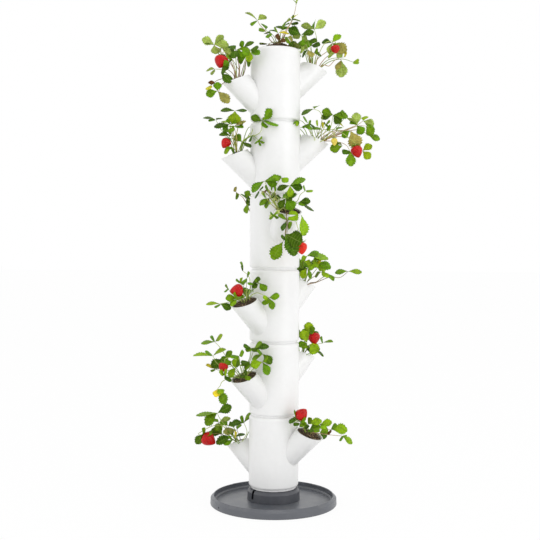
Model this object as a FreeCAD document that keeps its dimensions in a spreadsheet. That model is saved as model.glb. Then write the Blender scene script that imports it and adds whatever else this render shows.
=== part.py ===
import FreeCAD, Part
import Sketcher
import math
import os

# Vertical planter tower: an anthracite saucer and collar carry six white tiers that plug into each other and
# turn on each other. Each tier has two slanted planting pockets, filled with soil and strawberry plants.
# Millimetres, +Z up, the origin on the column's axis at the ground. Azimuth 0 faces the viewer (-Y), 90 +X.

Vector = FreeCAD.Vector
Rotation = FreeCAD.Rotation
Placement = FreeCAD.Placement

SIZES = {
    # saucer
    "saucer_diameter": 383.0,
    "saucer_height": 27.0,
    "saucer_rim_inset": 8.5,
    "saucer_wall": 3.2,
    "saucer_floor_height": 9.0,
    "saucer_floor_rise": 5.5,
    "saucer_inner_radius": 6.0,
    "skirt_height": 18.5,
    "skirt_draft": 0.8,
    "skirt_width": 2.6,
    "skirt_bevel": 2.0,
    "well_diameter": 148.0,
    "overflow_diameter": 5.0,
    "overflow_height": 11.5,
    "overflow_azimuth": -58.0,
    # collar
    "collar_diameter": 160.0,
    "collar_draft": 1.5,
    "collar_wall": 3.0,
    "collar_chamfer_width": 4.5,
    "collar_chamfer_height": 8.5,
    "collar_seat_height": 50.0,
    "collar_seat_step": 2.0,
    "collar_seat_width": 7.5,
    "slot_width": 10.0,
    "slot_bottom": 22.5,
    "slot_azimuth": -53.0,
    # tiers
    "tier_count": 6,
    "tier_pitch": 220.0,
    "column_diameter": 150.0,
    "column_wall": 3.0,
    "neck_diameter": 136.0,
    "neck_height": 5.0,
    "corner_radius": 7.0,
    "shoulder_radius": 9.0,
    "spigot_diameter": 125.0,
    "spigot_length": 12.0,
    "socket_clearance": 0.5,
    "socket_depth": 16.0,
    "socket_thickness": 2.4,
    # pockets
    "pocket_angle": 45.0,
    "pocket_diameter": 73.0,
    "pocket_taper": 1.6,
    "pocket_wall": 3.0,
    "pocket_reach": 165.0,
    "mouth_angle": 20.6,
    "low_pocket_height": 0.5,
    "high_pocket_height": 49.3,
    # azimuth of each tier's low pocket, from the bottom tier up
    "turn_1": -122.0,
    "turn_2": -45.0,
    "turn_3": -45.0,
    "turn_4": -162.0,
    "turn_5": -77.0,
    "turn_6": -70.0,
    # soil
    "soil_clearance": 0.3,
    "soil_depth": 8.0,
    "mound_height": 20.0,
    # plants
    "crown_diameter": 14.0,
    "crown_height": 9.0,
    "stalk_width": 2.4,
    "leaf_thickness": 1.6,
    "calyx_diameter": 9.0,
    "calyx_thickness": 2.0,
}

# Each strawberry plant by tier and place. A leaf is (heading, reach, rise, span): the heading in degrees
# from the direction in which the pocket points, anticlockwise from above, then how far out and up from the
# crown its three leaflets meet, and how wide it is. The top plant's headings start from the low pocket's.
LEAVES = {
    (1, "low"): [
        (0, 90, 91, 80), (27, 70, 54, 45), (-48, 50, 66, 50), (125, 62, 69, 40), (12, 136, 18, 50),
        (-20, 60, 28, 60), (22, 56, 8, 35),
    ],
    (1, "high"): [
        (-28, 30, 41, 45), (17, 52, 36, 50), (7, 97, 18, 50), (7, 126, -13, 35), (-108, 54, 48, 35),
        (90, 25, 40, 40),
    ],
    (2, "low"): [
        (-15, 108, 106, 65), (-40, 97, 68, 90), (-5, 107, 50, 50), (15, 64, 59, 60), (95, 36, 91, 55),
        (115, 66, 60, 60), (75, 54, 38, 50), (-15, 91, -48, 45), (-30, 58, 15, 45),
    ],
    (2, "high"): [
        (-15, 31, 84, 50), (-118, 72, 53, 46), (-45, 45, 26, 45), (-35, 84, 40, 35), (40, 40, 45, 45),
    ],
    (3, "low"): [
        (-35, 60, 12, 50), (-15, 74, -6, 45), (-35, 104, 0, 40), (65, 50, 52, 50), (105, 55, 53, 45),
        (110, 84, 14, 50), (-90, 18, 70, 35), (-60, 25, 112, 15),
    ],
    (3, "high"): [
        (-35, 33, 96, 50), (-25, 54, 82, 75), (-115, 58, 50, 44), (-45, 73, 56, 60), (-50, 88, 25, 35),
        (-40, 146, 38, 80), (15, 45, 32, 45), (40, 50, 65, 50),
    ],
    (4, "low"): [
        (52, 96, 116, 40), (87, 56, 104, 40), (102, 64, 63, 35), (-88, 132, 10, 55), (0, 60, 50, 60),
        (-40, 60, 85, 55),
    ],
    (4, "high"): [
        (-78, 87, 79, 70), (-58, 67, 93, 70), (22, 46, 79, 60), (-28, 55, 70, 50), (62, 57, 58, 30),
        (42, 60, 30, 35), (-18, 38, 30, 50), (-88, 70, 32, 45), (-3, 58, -12, 40), (-12, 66, -90, 70),
        (-48, 68, -112, 55), (-30, 60, -52, 35),
    ],
    (5, "low"): [
        (-13, 15, 127, 75), (-3, 73, 108, 60), (57, 28, 102, 50), (0, 30, 78, 60), (-30, 40, 52, 46),
        (170, 12, 50, 40), (27, 58, 6, 35), (122, 110, 102, 75),
    ],
    (5, "high"): [
        (-112, 54, 80, 42), (-43, 47, 80, 55), (7, 75, 68, 60), (-13, 131, 60, 60), (-3, 160, 41, 60),
        (2, 184, 11, 35), (-30, 113, 8, 68), (-52, 80, -18, 38), (-23, 112, -46, 60), (-13, 161, -31, 45),
        (90, 28, 42, 50),
    ],
    (6, "low"): [
        (0, 79, 102, 85), (-30, 39, 81, 55), (110, 50, 99, 56), (113, 58, 72, 40), (60, 20, 57, 50),
        (10, 60, 2, 50), (0, 74, -30, 45), (5, 60, -60, 45), (10, 92, 24, 30),
    ],
    (6, "high"): [
        (0, 10, 110, 75), (-175, 37, 92, 70), (-90, 20, 75, 55), (0, 25, 60, 30), (-155, 50, 66, 35),
        (-35, 66, 72, 75), (-5, 93, 54, 50), (-20, 93, 14, 50), (-15, 138, 12, 20), (60, 20, 42, 45),
    ],
    (6, "top"): [
        (-10, 63, 66, 60), (180, 49, 72, 45), (-175, 60, 122, 12), (130, 25, 30, 40), (20, 20, 30, 30),
        (150, 43, 10, 35), (-10, 42, 2, 25), (70, 30, 25, 30),
    ],
}

# The berries of each plant: heading, reach and rise of the middle, heading and drop of the tip, and diameter
BERRIES = {
    (1, "low"): [(37, 98, 10, 60, 60, 43)],
    (1, "high"): [(-78, 54, 64, -118, -20, 36)],
    (2, "low"): [(10, 98, 30, -15, 60, 30)],
    (2, "high"): [(-90, 57, 53, -75, 70, 36)],
    (3, "low"): [(15, 62, 39, -45, 10, 38)],
    (4, "high"): [(30, 76, -106, 42, 60, 33)],
    (5, "low"): [(32, 52, 34, -13, 50, 33)],
    (5, "high"): [(-24, 142, -38, -13, 70, 33), (-38, 76, -4, 0, 85, 22)],
    (6, "low"): [(25, 75, 48, -20, 40, 43)],
    (6, "high"): [(-40, 78, 48, 0, 80, 27)],
}

# The outline of a leaflet, along and across as shares of its length, and the angle between two leaflets
LEAFLET_OUTLINE = [(0.10, -0.08), (0.62, -0.38), (1.0, 0.0), (0.62, 0.38), (0.10, 0.08)]
LEAFLET_SWING = 85.0
# A leaf level with its crown droops by LEVEL_DROOP degrees, and less the higher it stands
LEVEL_DROOP = 45.0
DROOP_PER_RISE = 0.4
LEAST_DROOP = 12.0
MOST_DROOP = 78.0
# The outline of a berry as shares of its radius and length, and its length as a share of its diameter
BERRY_OUTLINE = [(0.0, 0.0), (0.35, 0.0), (0.86, 0.12), (1.0, 0.32), (0.78, 0.68), (0.30, 0.95), (0.0, 1.0)]
BERRY_PROPORTION = 1.15
# The bends of a stalk: how far along its way, the share of its rise, and how much higher or at least how high
RISING_BEND = (0.35, 0.6, 14.0)
HANGING_RISE = -20.0
HANGING_CREST = (0.45, 0.0, 18.0)
HANGING_BEND = (0.9, 0.3, 8.0)
# The straight end of a berry's stalk, and the top of a crown as a share of its foot
BERRY_NECK = 12.0
CROWN_TAPER = 0.6

POCKET_SIDES = ((1, "low"), (-1, "high"))
CALYX_LOBES = 6
DEGREE = math.pi / 180
ZERO = 1e-9

doc = FreeCAD.newDocument("planter_tower")
sheet = doc.addObject("Spreadsheet::Sheet", "Sizes")
for row, (alias, value) in enumerate(SIZES.items(), start=1):
    sheet.set(f"A{row}", alias)
    sheet.set(f"B{row}", str(value))
    sheet.setAlias(f"B{row}", alias)
doc.recompute()


class Size:
    """A number together with the sheet formula that gives it, so that both always agree."""

    def __init__(self, value, formula):
        self.value = float(value)
        self.formula = formula

    @staticmethod
    def of(other):
        return other if isinstance(other, Size) else Size(other, repr(float(other)))

    def __add__(self, other):
        other = Size.of(other)
        return Size(self.value + other.value, f"({self.formula} + {other.formula})")

    def __sub__(self, other):
        other = Size.of(other)
        return Size(self.value - other.value, f"({self.formula} - {other.formula})")

    def __mul__(self, other):
        other = Size.of(other)
        return Size(self.value * other.value, f"{self.formula} * {other.formula}")

    def __truediv__(self, other):
        other = Size.of(other)
        return Size(self.value / other.value, f"{self.formula} / ({other.formula})")

    def __neg__(self):
        return Size(-self.value, f"(-{self.formula})")


def size(name):
    return Size(sheet.get(name), f"Sizes.{name}")


def sine(angle):
    return Size(math.sin(math.radians(angle.value)), f"sin({angle.formula})")


def cosine(angle):
    return Size(math.cos(math.radians(angle.value)), f"cos({angle.formula})")


def tangent(angle):
    return Size(math.tan(math.radians(angle.value)), f"tan({angle.formula})")


def bind(item, **values):
    """Sets each named property to a size, and binds it to the sheet."""
    for name, value in values.items():
        value = Size.of(value)
        setattr(item, name, value.value)
        item.setExpression(name, value.formula)


def place(item, x=None, z=None, tilt=None, turn=None):
    """Places an item: x and z from its own axis, tilted about Y, or turned about Z."""
    if tilt is not None:
        item.Placement.Rotation = Rotation(Vector(0, 1, 0), 1.0)
        item.setExpression("Placement.Rotation.Angle", tilt.formula)
    if turn is not None:
        item.Placement.Rotation = Rotation(Vector(0, 0, 1), 1.0)
        item.setExpression("Placement.Rotation.Angle", turn.formula)
    if x is not None:
        item.setExpression("Placement.Base.x", Size.of(x).formula)
    if z is not None:
        item.setExpression("Placement.Base.z", Size.of(z).formula)


def revolved(name, outline):
    """Revolves a closed outline of (r, z) corners. A corner with a third value is reached by an arc of that
    radius, and the fourth value, 1 or -1, says on which side of the chord the arc's centre lies."""
    sketch = doc.addObject("Sketcher::SketchObject", f"{name}_outline")
    sketch.Placement = Placement(Vector(), Rotation(Vector(1, 0, 0), 90))
    count = len(outline)
    corners = [Vector(Size.of(corner[0]).value, Size.of(corner[1]).value, 0) for corner in outline]
    for index in range(count):
        start = corners[index]
        end = corners[(index + 1) % count]
        arc = outline[(index + 1) % count][2:]
        if arc:
            sketch.addGeometry(arc_between(start, end, arc[0].value, arc[1]), False)
        else:
            sketch.addGeometry(Part.LineSegment(start, end), False)
    for index in range(count):
        arc = outline[(index + 1) % count][2:]
        following = (index + 1) % count
        ends = 2 if not arc or arc[1] > 0 else 1
        next_arc = outline[(index + 2) % count][2:]
        starts = 1 if not next_arc or next_arc[1] > 0 else 2
        sketch.addConstraint(Sketcher.Constraint("Coincident", index, ends, following, starts))
    for index, corner in enumerate(outline):
        arc = outline[(index + 1) % count][2:]
        starts = 1 if not arc or arc[1] > 0 else 2
        for kind, value, axis in (("DistanceX", corner[0], -2), ("DistanceY", corner[1], -1)):
            value = Size.of(value)
            if abs(value.value) < ZERO:
                sketch.addConstraint(Sketcher.Constraint("PointOnObject", index, starts, axis))
            else:
                number = sketch.addConstraint(Sketcher.Constraint(kind, -1, 1, index, starts, value.value))
                sketch.setExpression(f"Constraints[{number}]", value.formula)
        if arc:
            number = sketch.addConstraint(Sketcher.Constraint("Radius", index, arc[0].value))
            sketch.setExpression(f"Constraints[{number}]", arc[0].formula)
    turned = doc.addObject("Part::Revolution", name)
    turned.Source = sketch
    turned.Axis = Vector(0, 0, 1)
    turned.Base = Vector()
    turned.Angle = 360
    turned.Solid = True
    return turned


def arc_between(start, end, radius, side):
    """The short arc from start to end: side 1 runs anticlockwise, its centre on the left of the chord."""
    chord = end - start
    middle = (start + end) * 0.5
    reach = math.sqrt(max(radius**2 - (chord.Length / 2) ** 2, 0.0))
    left = Vector(-chord.y, chord.x, 0).normalize()
    centre = middle + left * reach * side
    first, last = (start, end) if side > 0 else (end, start)
    first_angle = math.atan2(first.y - centre.y, first.x - centre.x)
    last_angle = math.atan2(last.y - centre.y, last.x - centre.x)
    return Part.ArcOfCircle(Part.Circle(centre, Vector(0, 0, 1), radius), first_angle, last_angle)


def cylinder(name, radius, height, **where):
    item = doc.addObject("Part::Cylinder", name)
    bind(item, Radius=radius, Height=height)
    place(item, **where)
    return item


def cone(name, radius, end_radius, height, **where):
    item = doc.addObject("Part::Cone", name)
    bind(item, Radius1=radius, Radius2=end_radius, Height=height)
    place(item, **where)
    return item


def fused(name, shapes):
    item = doc.addObject("Part::MultiFuse", name)
    item.Shapes = shapes
    return item


def cut(name, base, tool):
    item = doc.addObject("Part::Cut", name)
    item.Base = base
    item.Tool = tool
    return item


# Heights and radii that several pieces share
column_radius = size("column_diameter") / 2
column_bore = column_radius - size("column_wall")
neck_radius = size("neck_diameter") / 2
spigot_radius = size("spigot_diameter") / 2
spigot_bore = spigot_radius - size("column_wall")
socket_radius = spigot_radius + size("socket_clearance")
socket_wall = socket_radius + size("socket_thickness")
pitch = size("tier_pitch")
wall = size("column_wall")
corner_bend = size("corner_radius")
shoulder_bend = size("shoulder_radius")
seat = size("collar_seat_height")
tier_floor = size("neck_height") + wall


def make_saucer():
    """A tray with a wider skirt, a floor that rises to the middle, a well that rests on the ground under the
    collar, and an overflow hole."""
    outer = size("saucer_diameter") / 2
    rim = outer - size("saucer_rim_inset")
    bevel = size("skirt_bevel")
    skirt = outer - bevel - size("skirt_width")
    shoulder = size("skirt_height")
    thick = size("saucer_wall")
    top = size("saucer_height")
    floor = size("saucer_floor_height")
    middle = floor + size("saucer_floor_rise")
    bend = size("saucer_inner_radius")
    well = size("well_diameter") / 2
    lip = thick / 2
    floor_edge = rim - thick - bend
    outline = [
        (0.0, 0.0),
        (well, 0.0),
        (well, middle - thick),
        (rim, floor - thick),
        (rim, shoulder - thick),
        (skirt, shoulder - thick),
        (skirt, 0.0),
        (outer - bevel, 0.0),
        (outer, bevel),
        (outer - size("skirt_draft"), shoulder),
        (rim, top - lip),
        (rim - thick, top - lip, lip, 1),
        (rim - thick, floor + bend),
        (floor_edge, floor, bend, -1),
        (well - thick, middle),
        (well - thick, thick),
        (0.0, thick),
    ]
    tray = revolved("saucer_tray", outline)
    hole = cylinder("overflow_hole", size("overflow_diameter") / 2, outer - floor_edge)
    hole.Placement.Rotation = Rotation(Vector(0, 1, 0), 90)
    hole.setExpression("Placement.Base.x", floor_edge.formula)
    hole.setExpression("Placement.Base.z", size("overflow_height").formula)
    overflow = doc.addObject("Part::Compound", "overflow")
    overflow.Links = [hole]
    place(overflow, turn=size("overflow_azimuth") - 90)
    return cut("saucer", tray, overflow)


def make_collar():
    """A double-walled ring: the inner one stands in the saucer's well and takes the lowest tier's spigot."""
    foot = size("collar_diameter") / 2
    thick = size("collar_wall")
    floor = size("saucer_floor_height") + size("saucer_floor_rise")
    chamfer_in = size("collar_chamfer_width")
    chamfer_down = size("collar_chamfer_height")
    deck = seat - size("collar_seat_step")
    seat_edge = socket_radius + size("collar_seat_width")
    top_edge = foot - size("collar_draft")
    ring = socket_radius + thick
    outline = [
        (socket_radius, size("saucer_wall")),
        (ring, size("saucer_wall")),
        (ring, deck - thick),
        (top_edge - chamfer_in, deck - thick),
        (top_edge - thick, deck - chamfer_down - thick / 2),
        (foot - thick, floor),
        (foot, floor),
        (top_edge, deck - chamfer_down),
        (top_edge - chamfer_in, deck),
        (seat_edge, deck),
        (seat_edge, seat),
        (socket_radius, seat),
    ]
    body = revolved("collar_ring", outline)
    slot = doc.addObject("Part::Box", "drain_slot")
    bind(slot, Length=size("saucer_diameter"), Width=size("slot_width"), Height=seat)
    slot.setExpression("Placement.Base.x", (-size("saucer_diameter") / 2).formula)
    slot.setExpression("Placement.Base.y", (-size("slot_width") / 2).formula)
    slot.setExpression("Placement.Base.z", size("slot_bottom").formula)
    slots = doc.addObject("Part::Compound", "drain_slots")
    slots.Links = [slot]
    place(slots, turn=size("slot_azimuth") - 90)
    return cut("base_collar", body, slots)


def pocket_measures(axis_height):
    """Where a pocket's cone starts, how wide it is there and how high its lip stands."""
    lean = size("pocket_angle")
    taper = tangent(size("pocket_taper"))
    radius_at_axis = size("pocket_diameter") / 2 - taper * column_radius / sine(lean)
    start = (column_bore - radius_at_axis * cosine(lean)) / sine(lean)
    outward = sine(lean) + taper * cosine(lean)
    lip_distance = (size("pocket_reach") - radius_at_axis * cosine(lean)) / outward
    lip_radius = radius_at_axis + taper * lip_distance
    lip_height = axis_height + lip_distance * cosine(lean) - lip_radius * sine(lean)
    return lean, taper, start, radius_at_axis, lip_height


def pocket_cone(name, side, axis_height, inset, sink):
    """A pocket's cone, inset from its outer face and cut off along the mouth, sunk below it if asked.
    The side is 1 for the low pocket, which leans towards local +X, and -1 for the high one."""
    lean, taper, start, radius_at_axis, lip_height = pocket_measures(axis_height)
    reach = size("pocket_reach")
    length = reach / sine(lean) - start
    radius = radius_at_axis + taper * start - inset
    body = cone(
        f"{name}_cone",
        radius,
        radius + taper * length,
        length,
        x=start * sine(lean) * side,
        z=axis_height + start * cosine(lean),
        tilt=lean * side,
    )
    trim = cylinder(
        f"{name}_trim",
        reach,
        reach,
        x=reach * side,
        z=lip_height - sink,
        tilt=size("mouth_angle") * side,
    )
    return cut(f"{name}_body", body, trim)


def make_tier(level):
    """One column tier: spigot, neck, column with a rounded shoulder, socket ring and two open pockets."""
    name = f"tower_module_{level}"
    form = revolved(
        f"{name}_form",
        [
            (0.0, -size("spigot_length")),
            (spigot_radius, -size("spigot_length")),
            (spigot_radius, 0.0),
            (neck_radius, 0.0),
            (neck_radius, size("neck_height")),
            (column_radius, size("neck_height") + corner_bend, corner_bend, 1),
            (column_radius, pitch - shoulder_bend),
            (column_radius - shoulder_bend, pitch, shoulder_bend, 1),
            (0.0, pitch),
        ],
    )
    inner_corner = corner_bend - wall
    inner_shoulder = shoulder_bend - wall
    hollow = revolved(
        f"{name}_hollow",
        [
            (0.0, -size("spigot_length") - wall),
            (spigot_bore, -size("spigot_length") - wall),
            (spigot_bore, tier_floor),
            (column_bore - inner_corner, tier_floor),
            (column_bore, tier_floor + inner_corner, inner_corner, 1),
            (column_bore, pitch - shoulder_bend),
            (column_bore - inner_shoulder, pitch - wall, inner_shoulder, 1),
            (socket_wall, pitch - wall),
            (socket_wall, pitch - size("socket_depth")),
            (socket_radius, pitch - size("socket_depth")),
            (socket_radius, pitch + wall),
            (0.0, pitch + wall),
        ],
    )
    outer = [form]
    inner = [hollow]
    pocket_wall = size("pocket_wall")
    flush = Size.of(0.0)
    for side, label in POCKET_SIDES:
        height = size(f"{label}_pocket_height")
        outer.append(pocket_cone(f"{name}_{label}_pocket", side, height, flush, flush))
        inner.append(pocket_cone(f"{name}_{label}_bore", side, height, pocket_wall, -pocket_wall))
    tier = cut(name, fused(f"{name}_outer", outer), fused(f"{name}_inner", inner))
    seat_tier(tier, level)
    return tier


def seat_tier(item, level, side=1):
    """Sets an item of a tier at the tier's height and azimuth. One made for the high pocket has side -1:
    it is made like one for the low pocket, and turned to the opposite side."""
    place(item, z=seat + pitch * (level - 1), turn=size(f"turn_{level}") - 90 * side)


def make_soil(level):
    """The soil of one tier: it stands on the tier's floor, fills the spigot and reaches into both pockets."""
    name = f"soil_{level}"
    gap = size("soil_clearance")
    under_ring = pitch - size("socket_depth") - gap
    in_ring = socket_radius - gap
    outline = [
        (0.0, -size("spigot_length")),
        (spigot_bore - gap, -size("spigot_length")),
        (spigot_bore - gap, tier_floor),
        (column_bore - (corner_bend - wall) - gap, tier_floor),
        (column_bore - gap, tier_floor + corner_bend - wall),
        (column_bore - gap, under_ring),
        (in_ring, under_ring),
    ]
    if level == int(size("tier_count").value):
        mound = size("mound_height")
        swell = (in_ring * in_ring + mound * mound) / (mound * 2)
        outline += [(in_ring, pitch), (0.0, pitch + mound, swell, 1)]
    else:
        surface = pitch - size("spigot_length") - gap
        outline += [(in_ring, surface), (0.0, surface)]
    parts = [revolved(f"{name}_core", outline)]
    inset = size("pocket_wall") + gap
    for side, label in POCKET_SIDES:
        height = size(f"{label}_pocket_height")
        parts.append(pocket_cone(f"{name}_{label}_arm", side, height, inset, size("soil_depth")))
    soil = fused(name, parts)
    seat_tier(soil, level)
    return soil


def crown_point(place_name):
    """The middle of the soil's surface where a plant stands, and how far that surface leans outwards."""
    if place_name == "top":
        return Vector(0, 0, (pitch + size("mound_height")).value), 0.0
    axis_height = size(f"{place_name}_pocket_height")
    lean, _, _, _, lip_height = pocket_measures(axis_height)
    slope = tangent(size("mouth_angle"))
    rim_height = lip_height - size("soil_depth") + slope * size("pocket_reach")
    across = (rim_height - axis_height).value / (1 / tangent(lean).value + slope.value)
    return Vector(across, 0, rim_height.value - slope.value * across), size("mouth_angle").value


def heading_vector(heading, drop=0.0):
    """A unit vector at a heading about +Z, dropping below the horizontal by an angle in degrees."""
    flat = math.cos(drop * DEGREE)
    down = math.sin(drop * DEGREE)
    return Vector(flat * math.cos(heading * DEGREE), flat * math.sin(heading * DEGREE), -down)


def polygon_face(points):
    return Part.Face(Part.makePolygon(points + points[:1]))


def leaf_solid(hub, heading, drop, span):
    """Three flat leaflets that meet at the hub, as one plate: the middle one points along the heading."""
    forward = heading_vector(heading, drop)
    sideways = heading_vector(heading + 90)
    normal = forward.cross(sideways)
    points = []
    for swing in (-LEAFLET_SWING, 0.0, LEAFLET_SWING):
        for along, across in LEAFLET_OUTLINE:
            x = span / 2 * (along * math.cos(swing * DEGREE) - across * math.sin(swing * DEGREE))
            y = span / 2 * (along * math.sin(swing * DEGREE) + across * math.cos(swing * DEGREE))
            points.append(hub + forward * x + sideways * y)
    thickness = size("leaf_thickness").value
    return polygon_face(points).extrude(normal * thickness)


def stalk_solid(path):
    """A stalk of square section through the points of its path, mitred at each bend."""
    half = size("stalk_width").value / 2
    ways = [(end - start).normalize() for start, end in zip(path, path[1:])]
    across = ways[0].cross(Vector(0, 0, 1)).normalize()
    up = across.cross(ways[0])
    ring = [path[0] + side for side in (across * half, up * half, across * -half, up * -half)]
    faces = [polygon_face(ring)]
    for end, way, next_way in zip(path[1:], ways, ways[1:] + ways[-1:]):
        mitre = way + next_way
        next_ring = [corner + way * ((end - corner).dot(mitre) / way.dot(mitre)) for corner in ring]
        for index in range(len(ring)):
            faces.append(polygon_face([ring[index - 1], ring[index], next_ring[index], next_ring[index - 1]]))
        ring = next_ring
    faces.append(polygon_face(ring))
    return Part.Solid(Part.Shell(faces))


def stalk_path(crown, end):
    """The arching way of a stalk from inside the crown to its end: over the lip first where it hangs."""
    away = Vector(end.x - crown.x, end.y - crown.y, 0)
    rise = end.z - crown.z
    start = crown + Vector(0, 0, size("crown_height").value / 2)
    if rise < HANGING_RISE:
        bends = [
            crown + away * out + Vector(0, 0, rise * share + lift)
            for out, share, lift in (HANGING_CREST, HANGING_BEND)
        ]
        return [start, *bends, end]
    out, share, least = RISING_BEND
    return [start, crown + away * out + Vector(0, 0, max(rise * share, least)), end]


def berry_placement(crown, spot):
    """Where a berry's flat top is, and which way its tip points."""
    heading, reach, rise, tip_heading, tip_drop, diameter = spot
    middle = crown + heading_vector(heading) * reach + Vector(0, 0, rise)
    tip = heading_vector(tip_heading, tip_drop)
    return middle - tip * (diameter * BERRY_PROPORTION / 2), tip, diameter


def calyx_solid(top, tip):
    """The calyx on a berry's flat top."""
    aside = tip.cross(Vector(0, 0, 1)).normalize()
    beside = tip.cross(aside)
    radius = size("calyx_diameter").value / 2
    angles = [index * 2 * math.pi / CALYX_LOBES for index in range(CALYX_LOBES)]
    points = [top + (aside * math.cos(angle) + beside * math.sin(angle)) * radius for angle in angles]
    return polygon_face(points).extrude(tip * -size("calyx_thickness").value)


def make_plant(level, place_name):
    """A strawberry plant: a crown on the soil, with a stalk to each leaf and to the calyx of each berry."""
    crown, lean = crown_point(place_name)
    up = Vector(math.sin(lean * DEGREE), 0, math.cos(lean * DEGREE))
    radius = size("crown_diameter").value / 2
    solids = [Part.makeCone(radius, radius * CROWN_TAPER, size("crown_height").value, crown, up)]
    for heading, reach, rise, span in LEAVES[level, place_name]:
        hub = crown + heading_vector(heading) * reach + Vector(0, 0, rise)
        droop = min(max(LEVEL_DROOP - DROOP_PER_RISE * rise, LEAST_DROOP), MOST_DROOP)
        solids.append(leaf_solid(hub, heading, droop, span))
        solids.append(stalk_solid(stalk_path(crown, hub + Vector(0, 0, size("leaf_thickness").value / 2))))
    for spot in BERRIES.get((level, place_name), []):
        top, tip, _ = berry_placement(crown, spot)
        solids.append(calyx_solid(top, tip))
        in_calyx = top - tip * (size("calyx_thickness").value / 2)
        solids.append(stalk_solid([*stalk_path(crown, in_calyx - tip * BERRY_NECK), in_calyx]))
    plant = solids[0].fuse(solids[1:])
    return tier_feature(f"strawberry_{level}_{place_name}_plant", plant, level, place_name)


def make_berries(level, place_name):
    """The berries of one plant, each a body of revolution on its calyx."""
    crown, _ = crown_point(place_name)
    solids = []
    for spot in BERRIES[level, place_name]:
        top, tip, diameter = berry_placement(crown, spot)
        length = diameter * BERRY_PROPORTION
        corners = [Vector(diameter / 2 * across, 0, length * along) for across, along in BERRY_OUTLINE]
        berry = polygon_face(corners).revolve(Vector(), Vector(0, 0, 1), 360)
        berry.Placement = Placement(top, Rotation(Vector(0, 0, 1), tip))
        solids.append(berry)
    berries = Part.makeCompound(solids)
    return tier_feature(f"strawberry_{level}_{place_name}_berries", berries, level, place_name)


def tier_feature(name, shape, level, place_name):
    """A feature of a tier from a shape made at its low pocket, moved to the pocket where it belongs."""
    item = doc.addObject("Part::Feature", name)
    item.Shape = shape
    seat_tier(item, level, -1 if place_name == "high" else 1)
    return item


made = [make_saucer(), make_collar()]
tiers = range(1, int(size("tier_count").value) + 1)
for level in tiers:
    made.append(make_tier(level))
    made.append(make_soil(level))
for level, place_name in LEAVES:
    made.append(make_plant(level, place_name))
for level, place_name in BERRIES:
    made.append(make_berries(level, place_name))
doc.recompute()

for item in doc.Objects:
    if "Invalid" in item.State or "Error" in item.State:
        raise RuntimeError(f"{item.Name} failed: {item.State}")
for item in made:
    if item.Shape.isNull() or not item.Shape.isValid():
        raise RuntimeError(f"{item.Name} has no valid shape")

os.makedirs("parts", exist_ok=True)
for item in made:
    item.Shape.exportStep(f"parts/{item.Label}.step")
    print(item.Label, len(item.Shape.Solids), round(item.Shape.Volume), item.Shape.BoundBox)
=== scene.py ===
"""The looks of a vertical planter tower: six white tiers with strawberry plants, on a dark round saucer."""

from __future__ import annotations

import logging
import math
import random
from abc import ABC, abstractmethod
from dataclasses import dataclass, field
from enum import Enum
from typing import Iterable, Sequence

import bpy
from bpy.types import Material, Mesh, Node, NodeOutputs, NodeSocket, NodeTree, Object
from mathutils import Matrix, Vector, noise
from mathutils.bvhtree import BVHTree

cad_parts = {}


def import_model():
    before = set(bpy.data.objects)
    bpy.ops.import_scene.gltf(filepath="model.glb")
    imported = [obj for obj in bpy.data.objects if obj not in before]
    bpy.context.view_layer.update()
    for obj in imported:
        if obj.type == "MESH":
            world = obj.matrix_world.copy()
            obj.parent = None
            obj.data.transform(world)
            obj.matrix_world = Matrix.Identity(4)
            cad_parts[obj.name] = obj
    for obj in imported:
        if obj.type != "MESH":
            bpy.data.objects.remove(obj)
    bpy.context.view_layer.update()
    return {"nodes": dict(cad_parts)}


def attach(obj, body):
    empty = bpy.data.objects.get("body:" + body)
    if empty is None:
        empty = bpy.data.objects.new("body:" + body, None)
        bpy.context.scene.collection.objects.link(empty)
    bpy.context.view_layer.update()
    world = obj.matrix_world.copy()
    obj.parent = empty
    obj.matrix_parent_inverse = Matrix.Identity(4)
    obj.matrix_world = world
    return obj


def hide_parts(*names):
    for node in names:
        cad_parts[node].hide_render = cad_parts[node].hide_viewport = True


LOG = logging.getLogger("planter")
MM = 0.001
HALF_RIPE = 0.8

# A Mix node's colour sockets have the names of its other sockets, so they go by number
MIX_COLOURS = slice(6, 8)
MIX_RESULT = 2

Pixel = tuple[float, float]
Colour = tuple[float, float, float]
Range = tuple[float, float]
LeafTip = tuple[float, float, float, "Tone"]


def linear(red: int, green: int, blue: int) -> Colour:
    """Turns a screen colour of 0 to 255 into a linear one."""
    def channel(value: int) -> float:
        share = value / 255
        return share / 12.92 if share <= 0.04045 else ((share + 0.055) / 1.055) ** 2.4
    return (channel(red), channel(green), channel(blue))


def mixed(first: Colour, second: Colour, share: float) -> Colour:
    """A colour between two others, where a share of 1 is the second."""
    return tuple(a + (b - a) * share for a, b in zip(first, second))


def ripeness(ripe: float, green: Colour, half: Colour, full: Colour) -> Colour:
    """The colour of a berry that turns from green over a half ripe colour to the full one."""
    if ripe < HALF_RIPE:
        return mixed(green, half, ripe / HALF_RIPE)
    return mixed(half, full, (ripe - HALF_RIPE) / (1 - HALF_RIPE))


def smooth_path(points: Sequence[Vector], per_span: int) -> list[Vector]:
    """A Catmull-Rom line through points.

    Args:
        points: the points to pass through, two or more.
        per_span: how many steps each span is divided into.

    Returns:
        The points of the smooth line, ends included.
    """
    padded = [points[0] * 2 - points[1], *points, points[-1] * 2 - points[-2]]
    line = []
    for before, start, end, after in zip(padded, padded[1:], padded[2:], padded[3:]):
        for step in range(per_span):
            t = step / per_span
            line.append(0.5 * (2 * start + (end - before) * t + (2 * before - 5 * start + 4 * end - after) * t * t
                               + (3 * start - before - 3 * end + after) * t ** 3))
    line.append(points[-1])
    return line


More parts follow.
